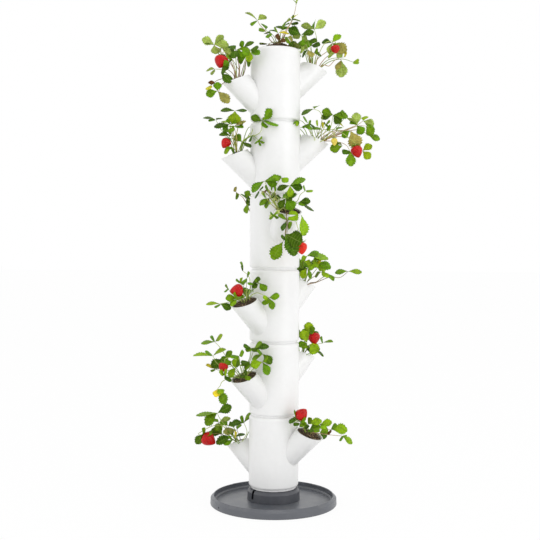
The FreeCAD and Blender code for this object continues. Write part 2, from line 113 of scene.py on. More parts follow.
class Tone(Enum):
    """What a leaf looks like in the photograph: its upper face, its underside, and whether the underside shows."""
    # DARK, MID and BRIGHT follow how bright each leaf looks. Besides the leaf's own green they carry painted shade
    # and painted light, with light through the leaf painted in as yellow-green.
    DARK = (linear(62, 98, 2), linear(112, 142, 44), False)
    MID = (linear(98, 142, 4), linear(142, 168, 58), False)
    BRIGHT = (linear(134, 174, 14), linear(164, 190, 70), False)
    PALE = (linear(104, 138, 18), linear(164, 188, 84), True)
    YELLOW = (linear(214, 206, 48), linear(214, 208, 96), False)
    OLIVE = (linear(150, 148, 74), linear(172, 176, 92), False)
    RUSTY = (linear(96, 52, 26), linear(150, 120, 64), False)


DARK, MID, BRIGHT, PALE, YELLOW, OLIVE, RUSTY = Tone


class StalkTone(Enum):
    """The colours of stalks and runners."""
    GREEN = linear(136, 166, 64)
    # LIGHT is a pale stalk green lifted further: partly the stalks' own colour, partly painted light.
    LIGHT = linear(188, 200, 108)
    PINK = linear(190, 150, 116)
    BROWN = linear(132, 92, 58)
    STRAW = linear(204, 186, 102)


GREEN, LIGHT, PINK, BROWN, STRAW = StalkTone


@dataclass(frozen=True)
class PhotoCamera:
    """The photograph's camera, and the way from its pixels into space.

    Attributes:
        position: where it stands, in metres.
        lens: its focal length, in millimetres.
        sensor: its sensor's width, in millimetres.
        pitch: how far it looks up, in degrees.
        roll: how far it is turned about its line of sight, in degrees.
        frame_size: the photograph's sides, in pixels.
        reach: how far it sees, in metres.
    """
    position: tuple[float, float, float] = (-0.0137, -2.963, 0.776)
    lens: float = 65.33
    sensor: float = 36.0
    pitch: float = -1.31
    roll: float = 0.265
    frame_size: int = 540
    reach: float = 60.0

    def turn(self) -> Matrix:
        """The camera's rotation."""
        upright = Matrix.Rotation(math.radians(90 + self.pitch), 3, "X")
        return upright @ Matrix.Rotation(math.radians(self.roll), 3, "Z")

    def sight(self, pixel: Pixel) -> Vector:
        """The unit direction in which the camera sees a pixel."""
        scale = self.sensor / (self.frame_size * self.lens)
        middle = self.frame_size / 2
        local = Vector(((pixel[0] - middle) * scale, (middle - pixel[1]) * scale, -1))
        return (self.turn() @ local).normalized()

    def point(self, pixel: Pixel, depth: float) -> Vector:
        """The point that a pixel shows on the upright plane at a depth.

        Args:
            pixel: the place in the photograph.
            depth: the plane's Y in metres.

        Returns:
            The point.
        """
        start = Vector(self.position)
        way = self.sight(pixel)
        return start + way * ((depth - start.y) / way.y)

    def pixel_size(self, point: Vector) -> float:
        """How wide a pixel is at a point, in metres."""
        return (point - Vector(self.position)).length * self.sensor / (self.lens * self.frame_size)

    def build(self) -> None:
        """Creates the camera and makes it the scene's."""
        data = bpy.data.cameras.new("photo_camera")
        data.lens = self.lens
        data.sensor_width = self.sensor
        data.clip_end = self.reach
        camera = bpy.data.objects.new("photo_camera", data)
        camera.matrix_world = Matrix.Translation(self.position) @ self.turn().to_4x4()
        bpy.context.scene.collection.objects.link(camera)
        bpy.context.scene.camera = camera


# Node trees

def set_inputs(node: Node, values: dict[str | int, object]) -> Node:
    """Gives a node's inputs a value each, or a link where the value is a socket.

    Args:
        node: the node.
        values: what each input, by name or number, is given.

    Returns:
        The node.
    """
    for key, value in values.items():
        if isinstance(value, NodeSocket):
            node.id_data.links.new(value, node.inputs[key])
        else:
            node.inputs[key].default_value = value
    return node


def add_node(tree: NodeTree, kind: str, values: dict[str | int, object] | None = None,
             **settings: object) -> Node:
    """Adds a node to a tree.

    Args:
        tree: the tree.
        kind: the node's type.
        values: what its inputs are given.
        **settings: the node's own settings.

    Returns:
        The new node.
    """
    node = tree.nodes.new(kind)
    for name, value in settings.items():
        setattr(node, name, value)
    return set_inputs(node, values or {})


def maths(tree: NodeTree, operation: str, *values: object) -> NodeSocket:
    """The result of a Math node on two or three values."""
    return add_node(tree, "ShaderNodeMath", dict(enumerate(values)), operation=operation).outputs[0]


def ramp(tree: NodeTree, value: NodeSocket, low: float, high: float) -> NodeSocket:
    """A value mapped smoothly from low..high to 0..1."""
    node = add_node(tree, "ShaderNodeMapRange", {"Value": value, "From Min": low, "From Max": high},
                    interpolation_type="SMOOTHSTEP")
    return node.outputs["Result"]


def blend_colours(tree: NodeTree, share: object, first: object, second: object) -> NodeSocket:
    """The colour that a Mix node makes of two colours."""
    node = add_node(tree, "ShaderNodeMix", data_type="RGBA")
    left, right = node.inputs[MIX_COLOURS]
    for socket, value in ((node.inputs["Factor"], share), (left, first), (right, second)):
        if isinstance(value, NodeSocket):
            tree.links.new(value, socket)
        else:
            socket.default_value = (*value, 1) if isinstance(value, tuple) else value
    return node.outputs[MIX_RESULT]


def noise_value(tree: NodeTree, vector: NodeSocket, scale: object, detail: float = 3,
                roughness: float = 0.5) -> NodeSocket:
    """The value of a Noise Texture."""
    node = add_node(tree, "ShaderNodeTexNoise", {"Vector": vector, "Scale": scale, "Detail": detail,
                                                 "Roughness": roughness})
    return node.outputs["Fac"]


class ShaderGroup:
    """A shader node group with named inputs and outputs, built once and placed in each material."""

    def __init__(self, name: str, inputs: dict[str, tuple[str, object]], outputs: dict[str, str]) -> None:
        """Makes the empty group.

        Args:
            name: the group's name.
            inputs: each input's socket type and default.
            outputs: each output's socket type.
        """
        self.tree = bpy.data.node_groups.new(name, "ShaderNodeTree")
        for label, (kind, value) in inputs.items():
            socket = self.tree.interface.new_socket(label, in_out="INPUT", socket_type=kind)
            if value is not None:
                socket.default_value = value
        for label, kind in outputs.items():
            self.tree.interface.new_socket(label, in_out="OUTPUT", socket_type=kind)
        self.entry = self.tree.nodes.new("NodeGroupInput").outputs
        self.exit = self.tree.nodes.new("NodeGroupOutput")

    def give(self, **results: NodeSocket) -> None:
        """Links the group's outputs."""
        set_inputs(self.exit, results)

    def place(self, tree: NodeTree, values: dict[str, object]) -> NodeOutputs:
        """Places the group in a material and returns its outputs."""
        node = tree.nodes.new("ShaderNodeGroup")
        node.node_tree = self.tree
        return set_inputs(node, values).outputs


def grain_group() -> ShaderGroup:
    """Fine moulding grain with slow waviness: a height, and how rough each spot is."""
    group = ShaderGroup("moulding_grain", {
        "Vector": ("NodeSocketVector", None), "Grain Scale": ("NodeSocketFloat", 1400.0),
        "Wave Scale": ("NodeSocketFloat", 9.0), "Roughness": ("NodeSocketFloat", 0.4),
        "Spread": ("NodeSocketFloat", 0.1)}, {"Height": "NodeSocketFloat", "Roughness": "NodeSocketFloat"})
    tree, entry = group.tree, group.entry
    fine = noise_value(tree, entry["Vector"], entry["Grain Scale"], 2)
    slow = noise_value(tree, entry["Vector"], entry["Wave Scale"], 2)
    wave_height, grain_height = 2.0, 0.25
    height = maths(tree, "MULTIPLY_ADD", slow, wave_height, maths(tree, "MULTIPLY", fine, grain_height))
    swing = maths(tree, "SUBTRACT", maths(tree, "ADD", slow, fine), 1.0)
    rough = maths(tree, "MULTIPLY_ADD", swing, entry["Spread"], entry["Roughness"])
    group.give(Height=height, Roughness=rough)
    return group


def mottle_group() -> ShaderGroup:
    """A colour broken up by two sizes of patches, one lighter and one darker."""
    group = ShaderGroup("colour_mottle", {
        "Vector": ("NodeSocketVector", None), "Colour": ("NodeSocketColor", (0.5, 0.5, 0.5, 1)),
        "Patch Scale": ("NodeSocketFloat", 60.0), "Strength": ("NodeSocketFloat", 0.2)},
        {"Colour": "NodeSocketColor", "Mask": "NodeSocketFloat"})
    tree, entry = group.tree, group.entry
    finer, small_share, large_share, darkest, lightest = 6.0, 0.35, 0.65, 0.38, 0.62
    large = noise_value(tree, entry["Vector"], entry["Patch Scale"], 3)
    small = noise_value(tree, entry["Vector"], maths(tree, "MULTIPLY", entry["Patch Scale"], finer), 2)
    both = maths(tree, "MULTIPLY_ADD", small, small_share, maths(tree, "MULTIPLY", large, large_share))
    mask = ramp(tree, both, darkest, lightest)
    gain = maths(tree, "MULTIPLY_ADD", maths(tree, "SUBTRACT", mask, 0.5), entry["Strength"], 1.0)
    scaled = add_node(tree, "ShaderNodeVectorMath", {0: entry["Colour"]}, operation="SCALE")
    set_inputs(scaled, {"Scale": gain})
    group.give(Colour=scaled.outputs[0], Mask=mask)
    return group


def dust_group() -> ShaderGroup:
    """A pale film of dust that gathers in patches and on upward faces."""
    group = ShaderGroup("settled_dust", {
        "Vector": ("NodeSocketVector", None), "Colour": ("NodeSocketColor", (0.5, 0.5, 0.5, 1)),
        "Dust": ("NodeSocketColor", (0.5, 0.5, 0.5, 1)), "Amount": ("NodeSocketFloat", 0.1)},
        {"Colour": "NodeSocketColor"})
    tree, entry = group.tree, group.entry
    patch_scale, clean, thick, steepest = 26.0, 0.42, 0.7, 0.3
    on_walls, more_on_top = 0.4, 1.6
    patches = ramp(tree, noise_value(tree, entry["Vector"], patch_scale, 5, 0.65), clean, thick)
    facing = add_node(tree, "ShaderNodeNewGeometry").outputs["Normal"]
    upward = ramp(tree, add_node(tree, "ShaderNodeSeparateXYZ", {0: facing}).outputs["Z"], steepest, 1.0)
    lying = maths(tree, "MULTIPLY_ADD", upward, more_on_top, on_walls)
    share = maths(tree, "MULTIPLY", maths(tree, "MULTIPLY", patches, lying), entry["Amount"])
    group.give(Colour=blend_colours(tree, share, entry["Colour"], entry["Dust"]))
    return group


def vein_group() -> ShaderGroup:
    """A leaf's midrib and side veins, from how far along and across the blade a spot is."""
    group = ShaderGroup("leaf_veins", {"Pairs": ("NodeSocketFloat", 7.0), "Width": ("NodeSocketFloat", 0.16)},
                        {"Veins": "NodeSocketFloat", "Swell": "NodeSocketFloat"})
    tree, entry = group.tree, group.entry
    place = add_node(tree, "ShaderNodeSeparateXYZ",
                     {0: add_node(tree, "ShaderNodeUVMap", uv_map="blade").outputs[0]}).outputs
    across = maths(tree, "ABSOLUTE", maths(tree, "MULTIPLY_ADD", place["Y"], 2.0, -1.0))
    wave = maths(tree, "PINGPONG", maths(tree, "MULTIPLY", place["X"], entry["Pairs"]), 0.5)
    side = maths(tree, "SUBTRACT", 1.0, ramp(tree, maths(tree, "SUBTRACT", 0.5, wave), 0.0, entry["Width"]))
    rib_width, side_strength = 0.09, 0.6
    middle = maths(tree, "SUBTRACT", 1.0, ramp(tree, across, 0.0, rib_width))
    group.give(Veins=maths(tree, "MAXIMUM", maths(tree, "MULTIPLY", side, side_strength), middle), Swell=wave)
    return group


class Groups:
    """The shader groups, each built once."""

    def __init__(self) -> None:
        """Builds every group."""
        self.grain = grain_group()
        self.mottle = mottle_group()
        self.dust = dust_group()
        self.veins = vein_group()


def new_material(name: str) -> tuple[Material, NodeTree, Node]:
    """A new material, its tree and its Principled shader."""
    material = bpy.data.materials.new(name)
    material.use_nodes = True
    tree = material.node_tree
    return material, tree, tree.nodes["Principled BSDF"]


def attribute_colour(tree: NodeTree, name: str) -> NodeSocket:
    """The colour that a mesh keeps under a name."""
    return add_node(tree, "ShaderNodeAttribute", attribute_name=name).outputs["Color"]


def bump(tree: NodeTree, height: NodeSocket, distance: float) -> NodeSocket:
    """A normal bent by a height map."""
    return add_node(tree, "ShaderNodeBump", {"Strength": 1.0, "Distance": distance, "Height": height}).outputs[0]


class Finish(ABC):
    """A kind of material whose colour is broken up in patches.

    Attributes:
        name: the material's name.
        patch_scale: how fine the patches are.
        mottle: how much the tone changes in them.
    """
    name: str
    patch_scale: float
    mottle: float

    @abstractmethod
    def surface(self, tree: NodeTree, place: NodeSocket, groups: Groups) -> dict[str, object]:
        """What the Principled shader's inputs are given.

        Args:
            tree: the material's tree.
            place: the object coordinates in it.
            groups: the shader groups.

        Returns:
            A value or a socket for each input's name.
        """

    def patches(self, tree: NodeTree, place: NodeSocket, groups: Groups, colour: object) -> NodeOutputs:
        """A colour in patches, and the mask of the patches."""
        return groups.mottle.place(tree, {"Vector": place, "Colour": colour, "Patch Scale": self.patch_scale,
                                          "Strength": self.mottle})

    def material(self, groups: Groups) -> Material:
        """Builds the material from the shader groups."""
        material, tree, shader = new_material(self.name)
        place = add_node(tree, "ShaderNodeTexCoord").outputs["Object"]
        set_inputs(shader, self.surface(tree, place, groups))
        return material


@dataclass(frozen=True)
class PlasticFinish(Finish):
    """Moulded plastic.

    Attributes:
        colour: the plastic's colour.
        dust_colour: the colour of the dust on it.
        dust: how much dust lies on it.
        roughness: how rough it is in the middle of its range.
        spread: how much rougher and smoother its spots are.
        specular: how strongly it reflects.
        grain: how deep its moulding grain is, in metres.
    """
    name: str
    colour: Colour
    dust_colour: Colour
    dust: float
    mottle: float
    roughness: float
    spread: float
    specular: float
    grain: float
    patch_scale: float = 14.0

    def surface(self, tree: NodeTree, place: NodeSocket, groups: Groups) -> dict[str, object]:
        """Patches under dust, with the moulding grain."""
        grain = groups.grain.place(tree, {"Vector": place, "Roughness": self.roughness, "Spread": self.spread})
        patches = self.patches(tree, place, groups, (*self.colour, 1))
        dusty = groups.dust.place(tree, {"Vector": place, "Colour": patches["Colour"],
                                         "Dust": (*self.dust_colour, 1), "Amount": self.dust})
        return {"Base Color": dusty["Colour"], "Roughness": grain["Roughness"], "Specular IOR Level": self.specular,
                "Normal": bump(tree, grain["Height"], self.grain)}


@dataclass(frozen=True)
class BladeFinish(Finish):
    """One face of a leaf: it takes its colour from the leaf, with veins, patches and a dull gloss.

    Attributes:
        attribute: the name under which the leaf keeps this face's colour.
        vein_colour: the colour of the veins.
        vein_share: how much of it the veins take on.
        roughness: how rough the smoothest patches are.
        relief: how high the blade swells between its veins, in metres.
        spread: how much rougher the roughest patches are.
        specular: how strongly it reflects.
        hair_scale: how fine the hairs are.
    """
    name: str
    attribute: str
    vein_colour: Colour
    vein_share: float
    roughness: float
    relief: float
    spread: float = 0.14
    specular: float = 0.08
    patch_scale: float = 90.0
    mottle: float = 0.5
    hair_scale: float = 900.0

    def surface(self, tree: NodeTree, place: NodeSocket, groups: Groups) -> dict[str, object]:
        """Patches and veins, on a blade that swells between them."""
        swell_height, hair_height = 1.2, 0.3
        patches = self.patches(tree, place, groups, attribute_colour(tree, self.attribute))
        veins = groups.veins.place(tree, {})
        share = maths(tree, "MULTIPLY", veins["Veins"], self.vein_share)
        hairs = maths(tree, "MULTIPLY", noise_value(tree, place, self.hair_scale, 2), hair_height)
        height = maths(tree, "MULTIPLY_ADD", veins["Swell"], swell_height, hairs)
        return {"Base Color": blend_colours(tree, share, patches["Colour"], self.vein_colour),
                "Roughness": maths(tree, "MULTIPLY_ADD", patches["Mask"], self.spread, self.roughness),
                "Specular IOR Level": self.specular, "Normal": bump(tree, height, self.relief)}


@dataclass(frozen=True)
class SkinFinish(Finish):
    """The skin of stalks, sepals and berries: it takes its colour from the mesh, in patches.

    Attributes:
        roughness: how rough the smoothest patches are.
        spread: how much rougher the roughest patches are.
        fine_scale: how fine the hairs or the pores are.
        fine_detail: how uneven they are.
        relief: how high they are, in metres.
        specular: how strongly it reflects.
        coat: how strong the gloss over it is.
    """
    name: str
    patch_scale: float
    mottle: float
    roughness: float
    spread: float
    fine_scale: float
    fine_detail: float
    relief: float
    specular: float = 0.5
    coat: float = 0.0

    def surface(self, tree: NodeTree, place: NodeSocket, groups: Groups) -> dict[str, object]:
        """Patches with a fine relief, under a gloss where there is one."""
        patches = self.patches(tree, place, groups, attribute_colour(tree, "tint"))
        fine = noise_value(tree, place, self.fine_scale, self.fine_detail)
        gloss = {"Coat Weight": self.coat, "Coat Roughness": 0.1} if self.coat else {}
        return {"Base Color": patches["Colour"], "Specular IOR Level": self.specular, **gloss,
                "Roughness": maths(tree, "MULTIPLY_ADD", patches["Mask"], self.spread, self.roughness),
                "Normal": bump(tree, fine, self.relief)}


@dataclass(frozen=True)
class EarthFinish(Finish):
    """Soil, crumbs, chips and seeds: a colour between two, in patches and specks.

    Attributes:
        dark: its darkest colour.
        light: its lightest colour.
        scale: how fine its specks are.
        relief: how deep its surface is, in metres.
        finer: how much finer the surface is than the specks.
        limits: where the darkest and the lightest specks start.
        roughness: how rough the dark specks are.
        spread: how much rougher the light ones are.
    """
    name: str
    dark: Colour
    light: Colour
    scale: float
    relief: float
    finer: float = 3
    limits: Range = (0.36, 0.66)
    roughness: float = 0.82
    spread: float = 0.12
    patch_scale: float = 40.0
    mottle: float = 0.5

    def surface(self, tree: NodeTree, place: NodeSocket, groups: Groups) -> dict[str, object]:
        """Specks in patches, on a crumbly surface."""
        specks = ramp(tree, noise_value(tree, place, self.scale, 6, 0.7), *self.limits)
        patches = self.patches(tree, place, groups, blend_colours(tree, specks, self.dark, self.light))
        crumbly = noise_value(tree, place, self.scale * self.finer, 5, 0.7)
        return {"Base Color": patches["Colour"], "Normal": bump(tree, crumbly, self.relief),
                "Roughness": maths(tree, "MULTIPLY_ADD", specks, self.spread, self.roughness)}


class Finishes:
    """Every material of the tower and its plants."""

    def __init__(self) -> None:
        """Builds the groups and the materials."""
        groups = Groups()
        self.white = PlasticFinish(
            "white_moulded_plastic", (0.84, 0.84, 0.836), linear(176, 168, 150), dust=0.012, mottle=0.02,
            roughness=0.34, spread=0.1, specular=0.5, grain=0.00006).material(groups)
        # The saucer's colour is the anthracite plastic's own dark grey, lifted by painted sheen from the light above.
        self.saucer = PlasticFinish(
            "anthracite_plastic_and_painted_sheen", linear(82, 85, 92), linear(136, 134, 130), dust=0.1, mottle=0.05,
            roughness=0.36, spread=0.12, specular=0.85, grain=0.00015).material(groups)
        # The collar is the saucer's anthracite painted darker, in its colour and its dust's colour: painted shade
        # from the tier above it.
        self.collar = PlasticFinish(
            "anthracite_collar_painted_shade", linear(74, 76, 82), linear(120, 119, 116), dust=0.1, mottle=0.05,
            roughness=0.4, spread=0.12, specular=0.5, grain=0.00015).material(groups)
        self.leaf_top = BladeFinish(
            "leaf_upper_face", "leaf_top", linear(150, 170, 84), vein_share=0.4, roughness=0.42,
            relief=0.0011).material(groups)
        self.leaf_under = BladeFinish(
            "leaf_underside", "leaf_under", linear(206, 214, 150), vein_share=0.5, roughness=0.62,
            relief=0.0009).material(groups)
        self.stalk = SkinFinish(
            "stalk_skin", patch_scale=120.0, mottle=0.35, roughness=0.45, spread=0.15, fine_scale=1500.0,
            fine_detail=2, relief=0.0002).material(groups)
        self.berry = SkinFinish(
            "berry_flesh", patch_scale=70.0, mottle=0.3, roughness=0.26, spread=0.12, fine_scale=700.0,
            fine_detail=3, relief=0.00025, specular=0.22, coat=0.1).material(groups)
        self.achene, self.soil, self.crumb, self.chip = (EarthFinish(*looks).material(groups) for looks in (
            ("berry_seeds", linear(176, 104, 36), linear(206, 150, 66), 400, 0.0002),
            ("potting_soil", linear(46, 36, 24), linear(92, 74, 52), 160, 0.0016),
            ("soil_crumbs", linear(52, 40, 28), linear(118, 96, 70), 220, 0.0008),
            ("wood_chips", linear(146, 118, 84), linear(196, 172, 136), 260, 0.0006)))


# Geometry node trees

class ShapeTree:
    """A geometry node tree with named inputs that is run once and leaves a plain mesh."""

    def __init__(self, name: str, inputs: dict[str, tuple[str, object]]) -> None:
        """Makes the tree with a geometry input and output.

        Args:
            name: the tree's name.
            inputs: each further input's socket type and default.
        """
        self.tree = bpy.data.node_groups.new(name, "GeometryNodeTree")
        self.tree.interface.new_socket("Geometry", in_out="INPUT", socket_type="NodeSocketGeometry")
        self.identifiers = {}
        for label, (kind, value) in inputs.items():
            socket = self.tree.interface.new_socket(label, in_out="INPUT", socket_type=kind)
            if value is not None:
                socket.default_value = value
            self.identifiers[label] = socket.identifier
        self.tree.interface.new_socket("Geometry", in_out="OUTPUT", socket_type="NodeSocketGeometry")
        self.entry = self.tree.nodes.new("NodeGroupInput").outputs

    def close(self, geometry: NodeSocket, material: NodeSocket) -> None:
        """Ends the tree: instances made real, and the material set."""
        real = add_node(self.tree, "GeometryNodeRealizeInstances", {"Geometry": geometry}).outputs[0]
        dressed = add_node(self.tree, "GeometryNodeSetMaterial", {"Geometry": real, "Material": material})
        add_node(self.tree, "NodeGroupOutput", {0: dressed.outputs[0]})

    def run(self, mesh: Mesh, values: dict[str, object]) -> Mesh:
        """Runs the tree on a mesh.

        Args:
            mesh: what the tree works on.
            values: the modifier's inputs, by their names.

        Returns:
            The plain mesh that results.
        """
        holder = bpy.data.objects.new(mesh.name + "_source", mesh)
        bpy.context.scene.collection.objects.link(holder)
        modifier = holder.modifiers.new("shape", "NODES")
        modifier.node_group = self.tree
        for label, value in values.items():
            modifier[self.identifiers[label]] = value
        graph = bpy.context.evaluated_depsgraph_get()
        result = bpy.data.meshes.new_from_object(holder.evaluated_get(graph), preserve_all_data_layers=True,
                                                 depsgraph=graph)
        holder.modifiers.remove(modifier)
        bpy.data.objects.remove(holder)
        return result


def tube_tree() -> ShapeTree:
    """Sweeps a round tube along the edges of a mesh, as thick as the mesh says at each point."""
    shape = ShapeTree("stalk_tubes", {"Sides": ("NodeSocketInt", 7), "Material": ("NodeSocketMaterial", None)})
    tree, entry = shape.tree, shape.entry
    lines = add_node(tree, "GeometryNodeMeshToCurve", {"Mesh": entry["Geometry"]}).outputs[0]
    ring = add_node(tree, "GeometryNodeCurvePrimitiveCircle", {"Resolution": entry["Sides"], "Radius": 1.0})
    thick = add_node(tree, "GeometryNodeInputNamedAttribute", {"Name": "thickness"}, data_type="FLOAT")
    tube = add_node(tree, "GeometryNodeCurveToMesh", {"Curve": lines, "Profile Curve": ring.outputs[0],
                                                      "Scale": thick.outputs[0], "Fill Caps": True})
    shape.close(tube.outputs[0], entry["Material"])
    return shape


def achene_tree() -> ShapeTree:
    """Sets a small seed on each point, standing along the point's outward direction."""
    shape = ShapeTree("berry_achenes", {"Length": ("NodeSocketFloat", 0.0009),
                                        "Material": ("NodeSocketMaterial", None)})
    tree, entry = shape.tree, shape.entry
    seed = add_node(tree, "GeometryNodeMeshIcoSphere", {"Radius": 1.0, "Subdivisions": 1}).outputs[0]
    outward = add_node(tree, "GeometryNodeInputNamedAttribute", {"Name": "outward"}, data_type="FLOAT_VECTOR")
    turn = add_node(tree, "FunctionNodeAlignRotationToVector", {"Vector": outward.outputs[0]}, axis="Z")
    proportions = (0.6, 1.0, 0.45)
    size = add_node(tree, "ShaderNodeVectorMath", {0: proportions}, operation="SCALE")
    set_inputs(size, {"Scale": entry["Length"]})
    placed = add_node(tree, "GeometryNodeInstanceOnPoints", {
        "Points": entry["Geometry"], "Instance": seed, "Rotation": turn.outputs[0], "Scale": size.outputs[0]})
    shape.close(placed.outputs[0], entry["Material"])
    return shape


def crumb_tree() -> ShapeTree:
    """Scatters crumbs over the faces of a soil surface."""
    shape = ShapeTree("soil_scatter", {
        "Density": ("NodeSocketFloat", 9000.0), "Seed": ("NodeSocketInt", 1),
        "Smallest": ("NodeSocketFloat", 0.5), "Largest": ("NodeSocketFloat", 1.5),
        "Proportions": ("NodeSocketVector", (0.0016, 0.0012, 0.001)), "Material": ("NodeSocketMaterial", None)})
    tree, entry = shape.tree, shape.entry
    upward = add_node(tree, "ShaderNodeSeparateXYZ", {0: add_node(tree, "GeometryNodeInputNormal").outputs[0]})
    steepest, most_turn = 0.35, (6.3, 6.3, 6.3)
    top = add_node(tree, "FunctionNodeCompare", {0: upward.outputs["Z"], 1: steepest}, operation="GREATER_THAN")
    points = add_node(tree, "GeometryNodeDistributePointsOnFaces", {
        "Mesh": entry["Geometry"], "Selection": top.outputs[0], "Density": entry["Density"],
        "Seed": entry["Seed"]})
    bit = add_node(tree, "GeometryNodeMeshIcoSphere", {"Radius": 1.0, "Subdivisions": 1}).outputs[0]
    turn = add_node(tree, "FunctionNodeRandomValue", {"Max": most_turn, "Seed": entry["Seed"]},
                    data_type="FLOAT_VECTOR").outputs[0]
    euler = add_node(tree, "FunctionNodeEulerToRotation", {0: turn}).outputs[0]
    spread = add_node(tree, "FunctionNodeRandomValue", data_type="FLOAT")
    set_inputs(spread, {"Min": entry["Smallest"], "Max": entry["Largest"], "Seed": entry["Seed"]})
    size = add_node(tree, "ShaderNodeVectorMath", {0: entry["Proportions"]}, operation="SCALE")
    set_inputs(size, {"Scale": next(s for s in spread.outputs if s.enabled)})
    placed = add_node(tree, "GeometryNodeInstanceOnPoints", {
        "Points": points.outputs["Points"], "Instance": bit, "Rotation": euler, "Scale": size.outputs[0]})
    shape.close(placed.outputs[0], entry["Material"])
    return shape


# Meshes

@dataclass
class MeshDraft:
    """Points and faces on their way into one mesh, each part with its material and colours."""
    points: list[Vector] = field(default_factory=list)
    faces: list[tuple[int, ...]] = field(default_factory=list)
    slots: list[int] = field(default_factory=list)
    colours: dict[str, list[Colour]] = field(default_factory=dict)
    places: list[Pixel] = field(default_factory=list)

    def add(self, points: Iterable[Vector], faces: Iterable[tuple[int, ...]], slot: int = 0,
            places: Iterable[Pixel] | None = None, **colours: Colour) -> None:
        """Adds one shape.

        Args:
            points: its points.
            faces: its faces, by the shape's own point numbers.
            slot: its material slot.
            places: where on the blade each point is.
            **colours: the colour it has under each name.
        """
        start = len(self.points)
        points = list(points)
        self.points.extend(points)
        self.places.extend(places or [(0.0, 0.0)] * len(points))
        for face in faces:
            self.faces.append(tuple(start + corner for corner in face))
            self.slots.append(slot)
        for name, colour in colours.items():
            self.colours.setdefault(name, []).extend([colour] * len(points))

    def mesh(self, name: str) -> Mesh:
        """The finished mesh, smooth, with its colours and blade places."""
        mesh = bpy.data.meshes.new(name)
        mesh.from_pydata(self.points, [], self.faces)
        mesh.polygons.foreach_set("material_index", self.slots)
        mesh.polygons.foreach_set("use_smooth", [True] * len(self.faces))
        for label, colours in self.colours.items():
            layer = mesh.attributes.new(label, "FLOAT_COLOR", "POINT")
            layer.data.foreach_set("color", [value for colour in colours for value in (*colour, 1.0)])
        layer = mesh.uv_layers.new(name="blade")
        corners = [0] * len(mesh.loops)
        mesh.loops.foreach_get("vertex_index", corners)
        layer.data.foreach_set("uv", [value for corner in corners for value in self.places[corner]])
        mesh.update()
        return mesh


def new_piece(name: str, mesh: Mesh, materials: Sequence[Material]) -> Object:
    """A piece at the origin that shows a mesh in its materials."""
    mesh.materials.clear()
    for material in materials:
        mesh.materials.append(material)
    piece = bpy.data.objects.new(name, mesh)
    bpy.context.scene.collection.objects.link(piece)
    return piece


def joined(name: str, meshes: Sequence[Mesh]) -> Object:
    """One piece made of several meshes, each with materials of its own."""
    pieces = []
    for mesh in meshes:
        piece = bpy.data.objects.new(name, mesh)
        bpy.context.scene.collection.objects.link(piece)
        pieces.append(piece)
    with bpy.context.temp_override(active_object=pieces[0], object=pieces[0], selected_objects=pieces,
                                   selected_editable_objects=pieces):
        bpy.ops.object.join()
    pieces[0].name = name
    return pieces[0]


@dataclass(frozen=True)
class LeafletShape:
    """The proportions of a strawberry leaflet.

    Attributes:
        rows: how many steps it has along its length, two to a tooth.
        columns: how many steps each half has across.
        widest: how far towards the tip it is widest.
        bluntness: how pointed its outline is, from 0 for a rectangle.
        stem: how wide its base and tip are.
        tooth: how far a tooth stands out.
        notch: how far the notch between two teeth goes in.
        sweep: how far each tooth points towards the tip, in steps.
        lean: how far the edges run ahead of the midrib.
        cup: how the fold of the halves steepens towards the edge.
        pleat: how high the blade stands between two side veins.
        pleat_end: how far towards the edge the pleats run.
        pleat_bluntness: how quickly they rise from the midrib.
        thickness: how thick it is, in metres.
    """
    rows: int = 14
    columns: int = 3
    widest: float = 1.15
    bluntness: float = 0.72
    stem: float = 0.03
    tooth: float = 0.11
    notch: float = 0.12
    sweep: float = 0.35
    lean: float = 0.16
    cup: float = 1.4
    pleat: float = 0.022
    pleat_end: float = 0.92
    pleat_bluntness: float = 0.6
    thickness: float = 0.0004

    def half_width(self, along: float) -> float:
        """How wide the blade is at a share of its length, as a share of its widest."""
        return max(math.sin(math.pi * along ** self.widest), 0.0) ** self.bluntness

    def ripple(self, side: float) -> float:
        """How strong the pleats are at a share of the way from the midrib to the edge."""
        return math.sin(math.pi * min(side, self.pleat_end)) ** self.pleat_bluntness

    def grid(self, length: float, width: float, fold: float, crest: float) -> list[tuple[Vector, Pixel]]:
        """The blade's points in its own frame: along X, across Y, the upper face towards Z.

        Args:
            length: from base to tip.
            width: where it is widest.
            fold: how far the edges stand above the midrib, as a share of the half width.
            crest: how far the middle stands above the ends, as a share of the length.

        Returns:
            Each point with its place along and across the blade.
        """
        points = []
        for row in range(self.rows + 1):
            along = row / self.rows
            toothed = 1 + self.tooth if row % 2 else 1 - self.notch
            half = max(self.half_width(along) * toothed, self.stem) * width / 2
            for column in range(-self.columns, self.columns + 1):
                side = abs(column) / self.columns
                reach = along + self.lean * side * side * (1 - along) * (0.5 if row == 0 else 1)
                if row % 2 and side == 1:
                    reach += self.sweep / self.rows
                lift = fold * side ** self.cup * half + crest * length * 4 * reach * (1 - reach)
                lift += self.pleat * width * (0.5 if row % 2 else -0.5) * self.ripple(side)
                across = half * column / self.columns
                points.append((Vector((length * reach, across, lift)), (along, 0.5 + column / self.columns / 2)))
        return points

    def faces(self) -> list[tuple[int, ...]]:
        """The blade's faces, upper side out."""
        stride = 2 * self.columns + 1
        return [(row * stride + column, (row + 1) * stride + column, (row + 1) * stride + column + 1,
                 row * stride + column + 1) for row in range(self.rows) for column in range(stride - 1)]


